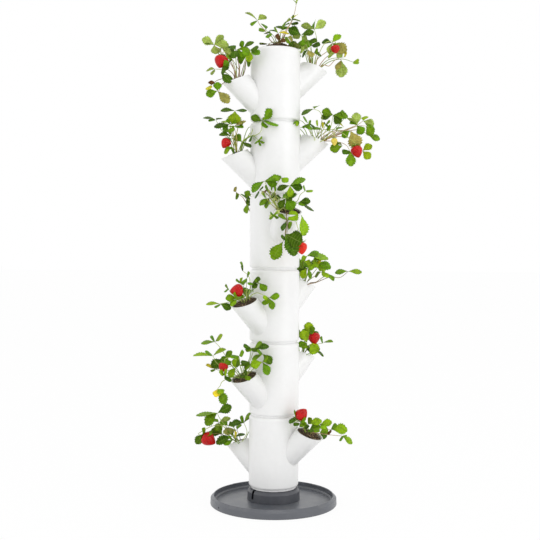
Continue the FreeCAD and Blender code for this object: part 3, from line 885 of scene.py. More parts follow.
@dataclass(frozen=True)
class Frond:
    """A stalk and the leaflets at its end, by their places in the photograph.

    Attributes:
        hub: where the leaflets meet.
        leaves: each leaflet's tip, its width as it is seen, and its tone.
        via: the places that the stalk passes.
        stalk: the stalk's colour.
        depth: how far the hub is behind the crown, in millimetres, where it is known.
        hidden: true where the tower or the plant hides it, so nothing is moved into sight.
    """
    hub: Pixel
    leaves: tuple[LeafTip, ...]
    via: tuple[Pixel, ...] = ()
    stalk: StalkTone = GREEN
    depth: float | None = None
    hidden: bool = False

    @classmethod
    def behind(cls, hub: Pixel, leaves: tuple[LeafTip, ...], depth: float) -> Frond:
        """A hidden frond, on a green stalk that goes straight to its hub."""
        return cls(hub, leaves, depth=depth, hidden=True)


@dataclass(frozen=True)
class Berry:
    """A berry by its places in the photograph.

    Attributes:
        middle: the berry's centre.
        size: its width and length in pixels.
        towards: the direction of its tip in the picture, right and down.
        ripe: 1 for red, 0 for unripe.
        depth: how far it is behind the crown, in millimetres.
    """
    middle: Pixel
    size: Pixel
    towards: Pixel
    ripe: float
    depth: float


@dataclass(frozen=True)
class PlantPlan:
    """One plant as the photograph shows it.

    Attributes:
        level: the tier it grows in, counted from the ground.
        side: which of the tier's places, low, high or top.
        crown: where its crown stands, in millimetres.
        fronds: its stalks with leaflets.
        berries: its berries.
        buds: its closed flowers, by place and diameter in pixels.
    """
    level: int
    side: str
    crown: tuple[float, float, float]
    fronds: tuple[Frond, ...]
    berries: tuple[Berry, ...] = ()
    buds: tuple[tuple[float, float, float], ...] = ()

    @property
    def label(self) -> str:
        """The name of the plant's place."""
        return f"{self.level}_{self.side}"


# Every plant of the tower, as read from the photograph: F is a frond, and B a hidden one on a straight stalk

F, B = Frond, Frond.behind
PLANTS: tuple[PlantPlan, ...] = (
    PlantPlan(6, "top", (8, 0, 1390), (
        F((257.5, 20.5), ((245, 13, 2, PALE), (266, 16, 6, PALE), (252, 26, 3, MID)),
          ((270, 40), (266, 32), (260, 25)), PINK, -20),
        F((292, 20), ((294, 16, 2, DARK), (297, 15, 2.5, YELLOW), (286, 22, 3, PALE), (300, 20.5, 2, PALE)),
          ((287, 30),), PINK, 5),
        F((296.3, 4), ((298.5, -1, 2, PALE), (293.5, 0, 1.6, PALE)), ((287, 30), (292, 21), (295, 11)), PINK, 5),
        F((290, 24), ((298, 24, 3, DARK), (285, 25, 2, DARK)), ((284, 33),), PINK, 12),
        F((278, 33), ((289, 34, 2.5, YELLOW), (270, 30, 2.5, DARK), (274, 28, 2, MID)), (), GREEN, -15),
        F((271, 33), ((265, 33, 2.5, DARK), (268, 38, 4, MID)), ((275, 38),), GREEN, -25),
        F((281, 39), ((275, 36, 5, RUSTY), (285, 42, 5, RUSTY)), (), BROWN, -30),
        F((287, 37), ((293, 40, 5, OLIVE), (287, 43, 5, MID)), ((282, 38),), GREEN, -25),
        F((268, 44), ((260, 44.5, 2, PALE),), ((274, 42),), GREEN, -30),
        F((283, 30), ((289, 27, 4, MID), (277, 26, 4, DARK), (285, 22, 3.5, MID)), (), GREEN, 30),
        F((266, 30), ((259, 31, 4, MID), (263, 24, 4, MID)), ((272, 37),), GREEN, 38),
    )),
    PlantPlan(6, "high", (114, 35, 1317), (
        F((314.5, 29.5), ((301, 25.5, 6, PALE), (326, 22, 8, PALE), (315, 21, 3, MID)), ((317, 50), (316.5, 38)),
          LIGHT, -10),
        F((301, 35), ((288.5, 29, 9, DARK), (314, 31.5, 6, DARK), (293, 38, 6, PALE)), ((309, 57), (305, 45)),
          LIGHT, -30),
        F((308, 41), ((317, 41.5, 5, DARK), (302, 37, 7, PALE)), ((311, 52),), LIGHT, -12),
        F((306, 44), ((300, 42, 6, MID), (302, 49, 6, PALE)), ((309, 54),), LIGHT, -34),
        F((311, 45.5), ((320, 45.5, 5, DARK),), ((312, 55),), GREEN, -2),
        F((301, 46), ((293.5, 45.5, 6, PALE), (303, 52, 5, PALE)), ((307, 55),), LIGHT, -38),
        F((308, 50), ((312, 57, 6, OLIVE), (302, 57, 3, DARK)), ((309, 56),), BROWN, -42),
        F((314, 53), ((321, 55, 4, DARK), (318, 50, 4, MID)), ((313, 58),), GREEN, -20),
        F((332, 43), ((322, 42, 5, DARK), (341, 35, 6, BRIGHT), (346.5, 52, 11, OLIVE), (329, 54, 6, PALE)),
          ((317, 60), (325, 53), (331, 49)), PINK, -4),
        F((336, 53), ((342, 57, 6, PALE), (328, 56, 5, PALE)), ((322, 62), (328, 56)), PINK, 18),
        F((341.3, 60), ((341.5, 77.5, 11, PALE), (336.5, 70, 5, OLIVE)),
          ((323, 65), (329, 66), (334, 61), (338, 58.5)), PINK, -10),
        F((353, 62), ((359, 61, 4, BRIGHT), (358, 64, 3, BRIGHT)), ((329, 62), (342, 59)), GREEN, 14),
        F((344, 57), ((347, 53, 2.5, YELLOW),), ((328, 60),), GREEN, 6),
        B((296, 50), ((290, 42, 9, DARK), (297, 60, 8, MID)), 58),
        B((306, 50), ((299, 42, 9, DARK), (309, 40, 8, MID)), 50),
    ), (
        Berry((335.5, 49.5), (9, 8.5), (0.1, 1.0), 1.0, -22),
    )),
    PlantPlan(6, "low", (-111, -40, 1268), (
        F((214, 45),
          ((202, 39, 8, PALE), (223.5, 35.5, 7, PALE), (229, 46, 8, PALE), (216, 54, 8, PALE), (206, 43, 3, DARK)),
          ((235, 72), (226, 57)), PINK, 4),
        F((222, 48), ((231, 54, 7, PALE), (215, 54, 5, PALE)), ((233, 66),), PINK, 16),
        F((236, 50), ((229.5, 46, 5, DARK), (250, 50, 4, MID), (234, 58.5, 8, DARK)), ((239, 68),), PINK, -8),
        F((243, 48.5), ((254, 42, 4, DARK), (241, 41, 5, MID)), ((240, 64),), PINK, 10),
        F((250, 50), ((258.5, 47.5, 4, DARK), (259.5, 54.5, 6, MID), (249, 62, 7, BRIGHT), (243, 54, 7, MID)),
          ((245, 70), (246, 62)), BROWN, -45),
        F((246, 57), ((237.5, 61, 8, MID), (241, 52, 7, MID), (249, 67, 4, DARK)), ((243, 68),), BROWN, -20),
        F((233, 60), ((226, 56, 4, MID), (228, 63, 3, DARK)), ((239, 71), (237, 67)), BROWN, -5),
        F((223, 66), ((229, 62, 7, MID), (227, 70, 6, DARK)), ((233, 74),), BROWN, -26),
        F((215, 69), ((206.5, 70.5, 3, PALE), (212, 75, 3, PALE)), ((230, 76), (222, 70)), LIGHT, 18),
        F((221, 73), ((230.5, 83, 8, DARK), (226, 70, 5, DARK)), ((232, 78), (226, 73)), GREEN, -34),
        F((217.5, 91), ((217.5, 82, 8, MID), (206, 95, 8, MID), (229, 103, 9, OLIVE)),
          ((231, 79), (221, 85), (219.5, 90)), PINK, -40),
        F((211.5, 85), ((207.5, 90, 4, YELLOW), (211.5, 80.5, 6, RUSTY)), ((230, 78), (218, 80)), BROWN, -46),
        B((234, 55), ((228, 49, 8, DARK), (242, 53, 8, MID)), 40),
        B((256, 56), ((262, 48, 9, DARK), (256, 64, 8, MID)), 98),
    ), (
        Berry((221, 62), (14, 13), (-0.25, 0.97), 1.0, -20),
    )),
    PlantPlan(5, "low", (-115, -26, 1048), (
        F((235, 110.8), ((220.5, 111, 4, DARK), (247, 110.5, 3, DARK), (234, 124, 13, BRIGHT)),
          ((236, 138), (238, 124)), STRAW, -10),
        F((216, 120), ((203, 118, 2.5, DARK), (209, 121.5, 2, MID), (221, 118, 2.5, DARK)),
          ((233, 144), (224, 133), (220, 128)), LIGHT, 12),
        F((229, 124), ((214, 127, 5, DARK), (224, 133, 6, MID)), ((235, 140),), STRAW, 4),
        F((221, 121.5), ((229, 122, 2.5, PALE),), ((233, 136),), LIGHT, 20),
        F((234, 126.5), ((246, 121, 3, OLIVE), (243, 128, 3, MID), (230, 133, 5, MID)), ((237, 140),), STRAW, -22),
        F((231, 136), ((219, 135, 4, DARK), (226, 129, 4, MID)), ((236, 146),), GREEN, -16),
        F((242, 142), ((235, 135, 8, MID), (251, 147.5, 4, DARK)), ((239, 150),), GREEN, -12),
        F((232, 147), ((224, 153, 5, BRIGHT), (233, 153, 3, DARK), (228, 149, 4, MID)), ((237, 152),), GREEN, -30),
        F((262, 121), ((251, 116.5, 7, DARK), (272, 109.5, 9, MID), (278, 126, 5, MID), (266, 128, 5, MID)),
          ((242, 142), (251, 136), (256, 135), (261, 131)), LIGHT),
        F((254.5, 122), ((251, 117, 3, PALE), (259, 121, 3, PALE)), ((245, 140), (251, 134)), LIGHT),
        F((258.5, 140),
          ((256.5, 143.5, 2.5, MID), (262.5, 143.5, 2.5, MID), (262, 138.5, 2.5, MID), (259, 145, 2.5, MID)),
          ((243, 142), (252, 136))),
        F((252, 135.5), ((251, 141, 2.5, DARK),), ((244, 142),)),
        F((231, 124), ((226, 121, 3, MID), (236, 122, 3, MID)), ((232, 147), (229, 135)), STRAW, -6),
        F((238, 128), ((243, 124, 3, MID),), ((237, 149), (236, 139)), STRAW, -14),
        F((234, 128), ((230, 126, 3, BRIGHT),), ((236, 149), (233, 139)), STRAW, -24),
        B((256, 128), ((264, 120, 9, DARK), (258, 136, 9, MID)), 86),
        B((262, 134), ((271, 128, 8, DARK), (266, 142, 7, MID)), 96),
    ), (
        Berry((225.5, 143.5), (10, 11), (-0.5, 0.87), 1.0, -10),
    )),
    PlantPlan(5, "high", (115, 26, 1097), (
        F((314, 109), ((301.5, 115, 4, DARK), (318, 106, 2.5, MID)), ((318, 134), (322, 120), (320, 112)),
          LIGHT, -50),
        F((333, 115), ((322, 111, 8, MID), (321, 118.5, 6, DARK), (348, 117, 7, MID), (341, 123, 9, DARK)),
          ((326, 138), (331, 126)), LIGHT, -6),
        F((345, 117.5), ((357, 125, 4, PALE), (341, 111, 3, MID)), ((334, 134), (340, 124)), LIGHT, 8),
        F((357, 125), ((356, 112.5, 9, PALE), (363, 134, 9, MID), (351, 121, 6, MID)),
          ((323, 137), (334, 131), (346, 130)), PINK, 0),
        F((363, 121), ((374, 125, 8, PALE), (366, 116, 5, BRIGHT)), ((340, 132), (357, 125)), PINK, 14),
        F((366, 126), ((373, 135, 9, MID), (374.5, 128, 5, MID)), ((345, 131), (358, 126)), PINK, 6),
        F((368, 135), ((380, 139.5, 6, MID), (372, 130, 5, DARK)), ((346, 132), (360, 130)), PINK, 18),
        F((350.5, 130.5), ((358, 148, 13.5, OLIVE), (342, 137, 7, MID)), ((325, 139), (336, 132)), PINK, -14),
        F((342.5, 146), ((330, 149.5, 9, MID), (334, 142, 3, DARK)), ((322, 141), (331, 137)), LIGHT, -34),
        F((350, 151), ((351, 166.5, 9.5, MID), (343, 154, 6, DARK)), ((326, 141), (338, 142), (346, 145)),
          PINK, -30),
        F((362.5, 151), ((372, 145, 7, BRIGHT), (370.5, 158.5, 8, BRIGHT)), ((330, 137), (350, 138), (360, 146)),
          PINK, 8),
        F((326, 124), ((330, 122, 3, MID), (322, 125, 3, DARK), (328, 128, 3, MID)), ((320, 136),), GREEN, -28),
        F((314, 130), ((305, 127, 4, MID), (320, 128, 4, MID), (311, 124, 3, DARK)), ((316, 137),), GREEN, -40),
        F((308, 124), ((303, 117, 1.6, MID), (304, 128, 3, MID)), ((312, 131),), GREEN, -46),
        F((296.5, 120.5), ((294, 124, 2.5, MID), (299, 124.5, 2.5, MID), (296.5, 126, 2.5, BRIGHT)),
          ((311, 134), (303, 122)), LIGHT),
        F((339, 124), ((343, 126, 2.5, YELLOW),), ((331, 132),), GREEN, 4),
        F((310, 126), ((309, 121, 3, MID),), ((315, 139), (311, 132)), LIGHT, -30),
        F((318, 126), ((316, 121, 2.5, BRIGHT),), ((318, 138), (317, 131)), LIGHT, -36),
        F((322, 128), ((324, 123, 3, YELLOW),), ((321, 139), (321, 133)), STRAW, -30),
        F((326, 130), ((331, 127, 4, MID),), ((323, 140), (324, 134)), STRAW, -34),
        F((336, 130), ((341, 127, 3, MID),), ((325, 141), (331, 135)), PINK, -20),
        B((296, 130), ((288, 124, 9, DARK), (297, 140, 8, MID)), 62),
        B((288, 134), ((280, 128, 8, DARK), (290, 144, 8, MID)), 74),
    ), (
        Berry((357, 152), (12, 12.5), (0.3, 0.95), 1.0, -12),
        Berry((334.3, 142), (6.5, 8), (0.0, 1.0), 0.0, -48),
    )),
    PlantPlan(4, "high", (36, -112, 877), (
        F((264.6, 181), ((252.3, 192.5, 7, MID), (281.5, 176.8, 6.5, MID), (277, 184.8, 8, MID)),
          ((278, 209), (272, 200), (268, 189)), LIGHT, -40),
        F((259.5, 190), ((256, 198, 2, DARK), (263, 188, 2, DARK)), ((276, 206), (267, 194)), BROWN, -36),
        F((281, 178), ((288, 182, 6, BRIGHT), (273, 177.5, 6, MID)), ((278, 208), (274, 197), (276, 186)),
          LIGHT, -44),
        F((290, 185.6),
          ((277, 190, 5.5, DARK), (305.5, 179, 6, MID), (302.5, 188, 8, DARK), (290, 197.5, 7.5, BRIGHT)),
          ((284, 206), (286, 196)), LIGHT, -42),
        F((290, 198), ((296.5, 195, 3.5, DARK), (285, 194, 4, MID)), ((286, 206),), GREEN, -30),
        F((305.5, 190.5), ((312, 192, 3, BRIGHT), (303, 187, 2.5, MID)), ((292, 207), (298, 200), (300, 195)),
          LIGHT, -26),
        F((299, 202), ((310.5, 201.5, 7, DARK), (314, 211, 2.5, DARK), (303, 206, 4, MID)), ((291, 208),),
          GREEN, 0),
        F((286, 198.5), ((279.5, 208.5, 6.5, DARK), (293.5, 209.5, 11, MID), (292, 200, 5, DARK)), ((286, 207),),
          GREEN, -26),
        F((270, 198), ((259.5, 205.3, 5, MID), (266.3, 208.5, 4, MID), (276, 194, 4, DARK)),
          ((280, 210), (275, 203)), LIGHT, -6),
        F((267, 189), ((264, 193.5, 2.5, RUSTY), (270, 193, 2.5, RUSTY)), ((276, 206), (272, 196)), BROWN, -4),
        F((273.5, 215), ((271, 219.5, 3, MID), (276.5, 219, 3, MID), (270.5, 214, 3, MID), (277, 213.5, 3, BRIGHT)),
          ((282, 210), (277, 211)), LIGHT, -34),
        F((287.3, 220.5), ((297.5, 213, 11, BRIGHT), (282.5, 231, 4.5, DARK), (278, 216, 4, MID)), ((286, 213),),
          BROWN, -40),
        F((288.5, 230), ((292, 222.5, 4, MID),), ((287, 214), (287.5, 222)), BROWN, -44),
        F((286.5, 238.5), ((302.5, 236.5, 13, DARK), (295, 256, 12, DARK), (281, 237, 4.5, DARK)),
          ((287, 214), (287.5, 224), (287, 232)), BROWN, -48),
        F((285, 234), ((302, 243, 15, DARK), (294, 252, 12, DARK)), ((286.5, 215), (286, 225)), BROWN, -58),
        F((283, 241.5), ((272.5, 259.5, 12, MID),), ((287, 214), (286.5, 226), (285, 237)), BROWN, -46),
        F((268, 190), ((265, 187, 3, MID),), ((277, 207), (271, 198)), STRAW, -28),
        F((272, 190), ((271, 186, 3, MID),), ((278, 207), (273, 198)), LIGHT, -30),
        F((275, 191), ((276, 187, 3, MID),), ((279, 207), (276, 198)), STRAW, -32),
        F((266, 197), ((263, 195, 3, MID),), ((277, 209), (270, 203)), STRAW, -22),
        B((282, 198), ((273, 199, 6, DARK), (289, 196, 6, MID)), -12),
    ), (
        Berry((301.5, 248.5), (12, 12.5), (0.1, 1.0), 0.85, -20),
    ), ((263, 193, 3.4), (278, 212, 3.6), (271, 216.5, 3.4), (268.5, 191, 2.6), (274, 199, 2.4), (270, 203, 2.4))),
    PlantPlan(4, "low", (-36, 112, 828), (
        F((236, 192), ((234.5, 187.5, 4, OLIVE), (237.5, 199, 4, MID)), ((245, 201), (241, 196)), PINK, -20),
        F((246, 199), ((249, 190.5, 7, MID), (242, 194, 3, MID)), (), LIGHT, -10),
        F((248, 203), ((247, 213.5, 5, MID),), (), GREEN, -26),
        F((301.5, 215), ((304, 236, 9, BRIGHT),), (), LIGHT, -34),
        B((262, 192), ((252, 184, 11, MID), (270, 182, 11, DARK), (263, 178, 10, MID)), 20),
        B((280, 198), ((289, 188, 11, MID), (272, 189, 10, DARK), (290, 200, 10, BRIGHT)), 34),
        B((262, 222), ((254, 230, 11, DARK), (257, 212, 10, MID), (266, 234, 10, MID)), 44),
        F((248, 195), ((248.5, 206, 6, DARK),), (), LIGHT, -6),
        B((276, 216), ((287, 226, 11, MID), (273, 230, 10, DARK), (288, 214, 9, MID)), 62),
        B((262, 206), ((256, 198, 9, BRIGHT), (268, 196, 9, MID)), 52),
        F((268, 238), ((260, 250, 11, MID), (277, 250, 11, DARK), (268, 256, 10, PALE)), ((266, 218), (267, 228)),
          PINK, 66, True),
    )),
    PlantPlan(3, "low", (-83, -83, 608), (
        F((241, 283), ((240, 278.5, 3.5, BRIGHT), (236, 281, 3, MID)), ((244, 296), (242, 289)), LIGHT, -4),
        F((247, 278), ((243, 285, 4, MID), (250, 273, 2.5, MID)), ((246, 294),), LIGHT, 8),
        F((243, 271), ((240, 262.5, 1.6, MID), (241, 266, 2.5, DARK)), ((250, 290), (249, 277)), LIGHT, 12),
        F((252.5, 283), ((260.5, 279.5, 5, DARK), (256.5, 288, 6, DARK), (249, 285, 4, MID)), ((248, 294),),
          GREEN, -12),
        F((259, 283), ((266, 291, 7, MID), (255, 281, 3, MID)), ((249, 295), (254, 289)), GREEN, -18),
        F((269, 298), ((279.5, 296, 6.5, MID), (273, 309.5, 6.5, MID), (264, 305, 6, MID), (263, 298, 5, BRIGHT)),
          ((250, 297), (256, 293), (261, 294)), LIGHT, -22),
        F((237, 298.5), ((225.5, 298.5, 7, MID), (231.5, 306.5, 5, BRIGHT), (233, 294, 4, MID)), ((243, 300),),
          GREEN, -30),
        F((220, 303.8), ((231, 309, 7, DARK), (206, 304.5, 3.5, BRIGHT), (216, 308, 3, MID)),
          ((240, 300), (230, 302)), LIGHT, -34),
        F((228, 288.5), ((225, 286, 2.5, MID), (226, 292, 2.5, MID)), ((240, 298), (232, 294)), GREEN, 6),
        B((252, 290), ((243, 293, 9, DARK), (258, 283, 8, MID), (262, 296, 8, MID)), 44),
        B((246, 296), ((236, 298, 9, MID), (252, 302, 8, MID)), 30),
    ), (
        Berry((236.5, 290.5), (13, 13.5), (-0.96, 0.1), 1.0, -14),
    )),
    PlantPlan(3, "high", (83, 83, 657), (
        F((307, 256), ((319, 252, 5, MID), (328.5, 259, 6, BRIGHT), (301, 261, 6, BRIGHT)),
          ((304, 278), (303, 266)), LIGHT, -30),
        F((304, 261), ((300, 268, 6, MID), (311, 265, 6, BRIGHT)), ((303, 273),), GREEN, -38),
        F((312, 262), ((321, 258, 5, BRIGHT), (319, 266, 6, BRIGHT)), ((307, 275),), GREEN, -36),
        F((307, 268), ((298.5, 270, 7, DARK), (302, 278.5, 7, BRIGHT), (311, 279, 4, MID), (315, 267, 6, BRIGHT)),
          ((305, 280),), GREEN, -34),
        F((316, 263), ((331, 268, 8, MID), (322, 259, 4, YELLOW), (322, 270, 6, BRIGHT)), ((306, 279), (310, 270)),
          LIGHT, -12),
        F((320, 265), ((330, 266, 5, DARK), (325, 272, 6, BRIGHT)), ((309, 279), (315, 271)), GREEN, 10),
        F((321, 272), ((328, 277.5, 5, BRIGHT), (315, 276, 4, MID)), ((308, 281),), BROWN, -20),
        F((327, 273.5), ((333.5, 281, 4, MID), (323, 276, 3, DARK)), ((310, 283), (316, 282), (323, 277)),
          BROWN, 0),
        F((348, 271.5), ((335, 273, 5, MID), (362, 272, 5, BRIGHT)),
          ((309, 284), (316, 282.5), (330, 277), (340, 277.5)), BROWN, 4),
        B((309, 268), ((304, 262, 8, MID), (317, 262, 8, DARK)), 44),
        B((298, 272), ((290, 262, 9, DARK), (298, 258, 8, MID), (288, 272, 8, MID)), 40),
        B((292, 282), ((284, 276, 8, MID), (294, 290, 8, DARK)), 56),
    )),
    PlantPlan(2, "low", (-83, -83, 388), (
        F((215, 342), ((201, 343.5, 4, MID), (222.5, 335, 4, BRIGHT), (210, 337, 3, MID)),
          ((236, 372), (227, 358), (220, 347.5)), LIGHT, 4),
        F((213, 356), ((193, 356, 3.5, BRIGHT), (226, 349.5, 4, BRIGHT), (205, 352, 3, MID)),
          ((234, 374), (222, 367), (216, 362)), LIGHT, -8),
        F((225, 360), ((211, 366, 10, DARK), (232, 351, 6, MID), (230, 365, 6, MID)), ((238, 372),), GREEN, 0),
        F((239, 356), ((234, 367, 8, BRIGHT), (244, 352, 5, MID), (231, 358, 4, MID)), ((241, 370),), GREEN, -14),
        F((215, 369), ((206, 365.5, 3, YELLOW), (212, 372, 3, MID)), ((233, 376), (224, 372)), GREEN, 10),
        F((224, 375), ((230, 382, 4.5, DARK), (219, 372, 5, BRIGHT), (227, 371, 4, BRIGHT)), ((235, 377),),
          GREEN, -34),
        F((236, 367), ((229, 377.5, 7, BRIGHT), (240, 362, 4, DARK)), ((240, 374),), GREEN, -26),
        F((251, 348), ((243.5, 346.5, 5, DARK), (258, 351.5, 5, DARK), (247, 352, 5, MID)),
          ((244, 372), (250, 357)), GREEN, -8),
        F((254, 349), ((269, 346.5, 6, DARK), (262, 342.5, 4, MID)), ((245, 372), (251, 358)), GREEN, -14),
        F((262.5, 354), ((252, 359.5, 4, MID), (271.5, 364, 8, DARK), (257, 351, 4, MID)), ((247, 374), (254, 362)),
          LIGHT, -22),
        F((262.5, 362), ((250.5, 365.5, 9, BRIGHT), (268.5, 375, 8, MID), (268, 357, 5, MID)),
          ((247, 375), (256, 367)), LIGHT, -26),
        F((250, 362), ((241, 363, 4, DARK), (246, 370, 5, MID)), ((245, 373),), GREEN, -18),
        F((245, 375), ((249.5, 380.5, 5, MID), (241, 378, 4, DARK), (247, 371, 4, DARK)), ((243, 377),),
          GREEN, -42),
        F((217.5, 389), ((225.5, 404.5, 9, MID), (215.5, 397, 7, YELLOW), (223, 393, 6, BRIGHT)),
          ((234, 377), (223, 381), (220, 386)), LIGHT, -18),
        B((240, 366), ((234, 359, 7, MID), (247, 363, 7, DARK)), 40),
        B((226, 368), ((214, 362, 9, DARK), (223, 356, 8, MID)), 36),
    ), (
        Berry((223, 367.5), (10, 9.5), (-0.3, 0.95), 1.0, -20),
    )),
    PlantPlan(2, "high", (83, 83, 437), (
        F((309, 334), ((308.5, 322, 9, BRIGHT), (315, 328, 6, MID), (303, 329, 5, MID)), ((303, 350), (305, 341)),
          LIGHT, -20),
        F((307, 343), ((302.5, 330, 9, BRIGHT), (297.5, 345, 6, MID), (303, 349, 5, MID)), ((304, 351),),
          GREEN, -34),
        F((309.5, 344.5), ((317, 353, 11, BRIGHT), (308, 351, 5, MID), (319, 346, 5, BRIGHT)), ((305, 352),),
          GREEN, -30),
        F((323, 343), ((333, 342, 2.5, MID), (320, 338, 3, MID)), ((306, 351), (315, 345)), LIGHT, 8),
        F((317, 352), ((323.5, 355, 3.5, DARK), (320, 349, 3, MID)), ((308, 354),), GREEN, 10),
        B((310, 340), ((300, 333, 9, MID), (318, 332, 9, DARK), (309, 326, 8, MID)), 46),
        B((296, 342), ((286, 334, 9, DARK), (296, 328, 8, MID), (286, 345, 8, MID)), 40),
    ), (
        Berry((314, 338.5), (12.5, 12.5), (0.05, 1.0), 1.0, -10),
    )),
    PlantPlan(1, "low", (-100, 62, 168), (
        F((217.5, 413), ((231.5, 406, 9, DARK), (196, 415.5, 4, MID), (205.5, 425, 10, MID)),
          ((236, 438), (224, 424), (219, 417)), LIGHT, -12),
        F((219, 422.5), ((230.5, 418, 5, PALE), (217, 430.5, 5, MID), (212, 419, 4, MID)), ((234, 438), (225, 428)),
          LIGHT, -4),
        F((244, 423), ((231, 424, 6, DARK), (250.5, 412.5, 3.5, MID), (252.5, 415, 3.5, DARK), (240, 417, 4, MID)),
          ((243, 440), (247, 432)), LIGHT, -46),
        F((237, 430), ((223, 432, 7, OLIVE), (240, 424, 4, MID)), ((240, 438),), BROWN, -20),
        F((232.5, 436), ((216, 443.5, 8, DARK), (229, 430, 5, MID)), ((238, 441),), GREEN, -30),
        F((205, 434), ((195.5, 443.5, 8, DARK), (202, 428.5, 4, MID), (212, 434, 5, MID)), ((234, 440), (220, 434)),
          BROWN, -10),
        F((233, 440), ((224, 445, 5, MID), (228, 437, 3, MID)), ((238, 443),), GREEN, -38),
        F((235, 437), ((245, 434, 3, DARK), (237, 433, 3, YELLOW)), ((239, 442),), GREEN, -34),
        B((228, 426), ((221, 420, 7, MID), (234, 424, 6, DARK)), 40),
        B((256, 430), ((264, 424, 9, DARK), (258, 440, 8, MID)), 10),
        B((222, 434), ((211, 430, 9, DARK), (216, 424, 8, MID)), 30),
    ), (
        Berry((209, 439.5), (14, 15), (0.8, 0.45), 1.0, -16),
    )),
    PlantPlan(1, "high", (100, -62, 217), (
        F((297, 416), ((289.5, 423.5, 4.5, DARK), (294, 412, 3, MID)), ((304, 428), (300, 421)), GREEN, -14),
        F((300, 423), ((306, 419, 4, MID), (304, 426, 4, MID), (294, 426, 4, DARK)), ((305, 430),), GREEN, -30),
        F((308, 424), ((322, 421, 7, BRIGHT), (312, 418.5, 5, MID), (306, 429, 4, DARK)), ((308, 431),), LIGHT, -4),
        F((320, 424.5), ((332, 422, 7, BRIGHT), (326, 429, 6, BRIGHT), (315, 430, 6, MID)), ((311, 431),),
          LIGHT, 4),
        F((331, 429.5), ((347.5, 430, 10, BRIGHT), (329, 434.5, 3, RUSTY), (337, 425, 4, MID)),
          ((311, 432), (321, 429)), PINK, -10),
        F((342, 436), ((352.5, 443.5, 5.5, BRIGHT), (346, 437, 3, MID), (341, 441, 3, MID)),
          ((312, 433), (323, 434), (331, 435)), PINK, -20),
        F((313, 429), ((319, 432, 4, MID), (309, 432, 4, DARK)), ((311, 433),), GREEN, -34),
        B((309, 430), ((300, 424, 9, MID), (318, 427, 9, DARK), (312, 436, 8, MID)), 42),
        B((320, 432), ((328, 429, 9, MID), (326, 438, 8, DARK)), 30),
    ), (
        Berry((302, 414), (12.5, 13.5), (0.6, -0.7), 1.0, -24),
    )),
)


def band_faces(bands: int, sides: int) -> list[tuple[int, ...]]:
    """The faces between rings of points.

    Args:
        bands: how many bands there are, one fewer than the rings.
        sides: how many points a ring has.

    Returns:
        The faces, by the numbers of their points.
    """
    return [(r * sides + (s + 1) % sides, r * sides + s, (r + 1) * sides + s, (r + 1) * sides + (s + 1) % sides)
            for r in range(bands) for s in range(sides)]


class Flesh(Enum):
    """The colours of a berry's flesh: unripe, half ripe and ripe."""
    SKIN = (linear(232, 212, 92), linear(232, 40, 6), linear(186, 6, 10))
    TIP = (linear(214, 190, 66), linear(216, 28, 6), linear(152, 4, 8))
    TOP = (linear(236, 222, 122), linear(236, 100, 40), linear(206, 38, 24))


@dataclass(frozen=True)
class BerryBody:
    """The shape of one berry's skin, with a dent under each of its seeds.

    Attributes:
        top: the middle of its top.
        axis: the way from there to its tip.
        length: how long it is.
        radius: how wide it is, from its middle.
        rings: how many steps its skin has from top to tip.
        sides: how many steps it has around.
        crowding: how the rings crowd towards its top.
        ends: between which shares of its length the skin is.
        widest: how near its top it is widest.
        bluntness: how pointed its outline is, from 0 for a cylinder.
        shoulder: how full it is at its top.
        taper: how much it loses from there to its tip.
        sink: how far the skin sinks in around the calyx, as a share of its length.
        sink_reach: how far from its top that is felt, as a share of its length.
        seeds: how many seeds it has.
        seeded: between which shares of its length they are.
        dent_depth: how deep a seed's dent is.
        dent_radius: how wide it is.
    """
    top: Vector
    axis: Vector
    length: float
    radius: float
    rings: int = 18
    sides: int = 26
    crowding: float = 0.9
    ends: Range = (0.004, 0.997)
    widest: float = 0.68
    bluntness: float = 0.66
    shoulder: float = 1.02
    taper: float = 0.08
    sink: float = 0.06
    sink_reach: float = 0.05
    seeds: int = 86
    seeded: Range = (0.1, 0.96)
    dent_depth: float = 0.0006
    dent_radius: float = 0.0011

    def girth(self, along: float) -> float:
        """Its radius at a share of its length."""
        outline = math.sin(math.pi * along ** self.widest) ** self.bluntness
        return self.radius * outline * (self.shoulder - self.taper * along)

    def surface(self, along: float, angle: float) -> Vector:
        """A point of its skin, which sinks in around the calyx."""
        side = self.axis.orthogonal().normalized()
        way = side * math.cos(angle) + self.axis.cross(side) * math.sin(angle)
        sink = self.sink * self.length * math.exp(-(along / self.sink_reach) ** 2)
        return self.top + self.axis * (self.length * along + sink) + way * self.girth(along)

    def outward(self, spot: Vector, along: float) -> Vector:
        """The way out of the berry at a point of its skin."""
        return (spot - (self.top + self.axis * self.length * along)).normalized()

    def seed_spots(self) -> list[Pixel]:
        """Where its seeds are: the share of its length and the angle of each, in a spiral."""
        first, last = self.seeded
        golden = math.pi * (3 - math.sqrt(5))
        return [(first + (last - first) * (number + 0.5) / self.seeds, number * golden % (2 * math.pi))
                for number in range(self.seeds)]

    def dent(self, along: float, angle: float, spots: list[Pixel]) -> float:
        """How far the nearest seed pulls the skin in at a point."""
        girth = self.girth(along)
        nearest = min(((along - a) * self.length) ** 2
                      + (((angle - b + math.pi) % (2 * math.pi) - math.pi) * girth) ** 2 for a, b in spots)
        return self.dent_depth * math.exp(-nearest / self.dent_radius ** 2)

    def skin(self) -> list[tuple[Vector, float]]:
        """The points of its skin, ring by ring, each with its share of the length."""
        lowest, highest = self.ends
        spots, points = self.seed_spots(), []
        for ring in range(self.rings + 1):
            along = min(max((ring / self.rings) ** self.crowding, lowest), highest)
            for step in range(self.sides):
                angle = 2 * math.pi * step / self.sides
                spot = self.surface(along, angle)
                points.append((spot - self.outward(spot, along) * self.dent(along, angle, spots), along))
        return points


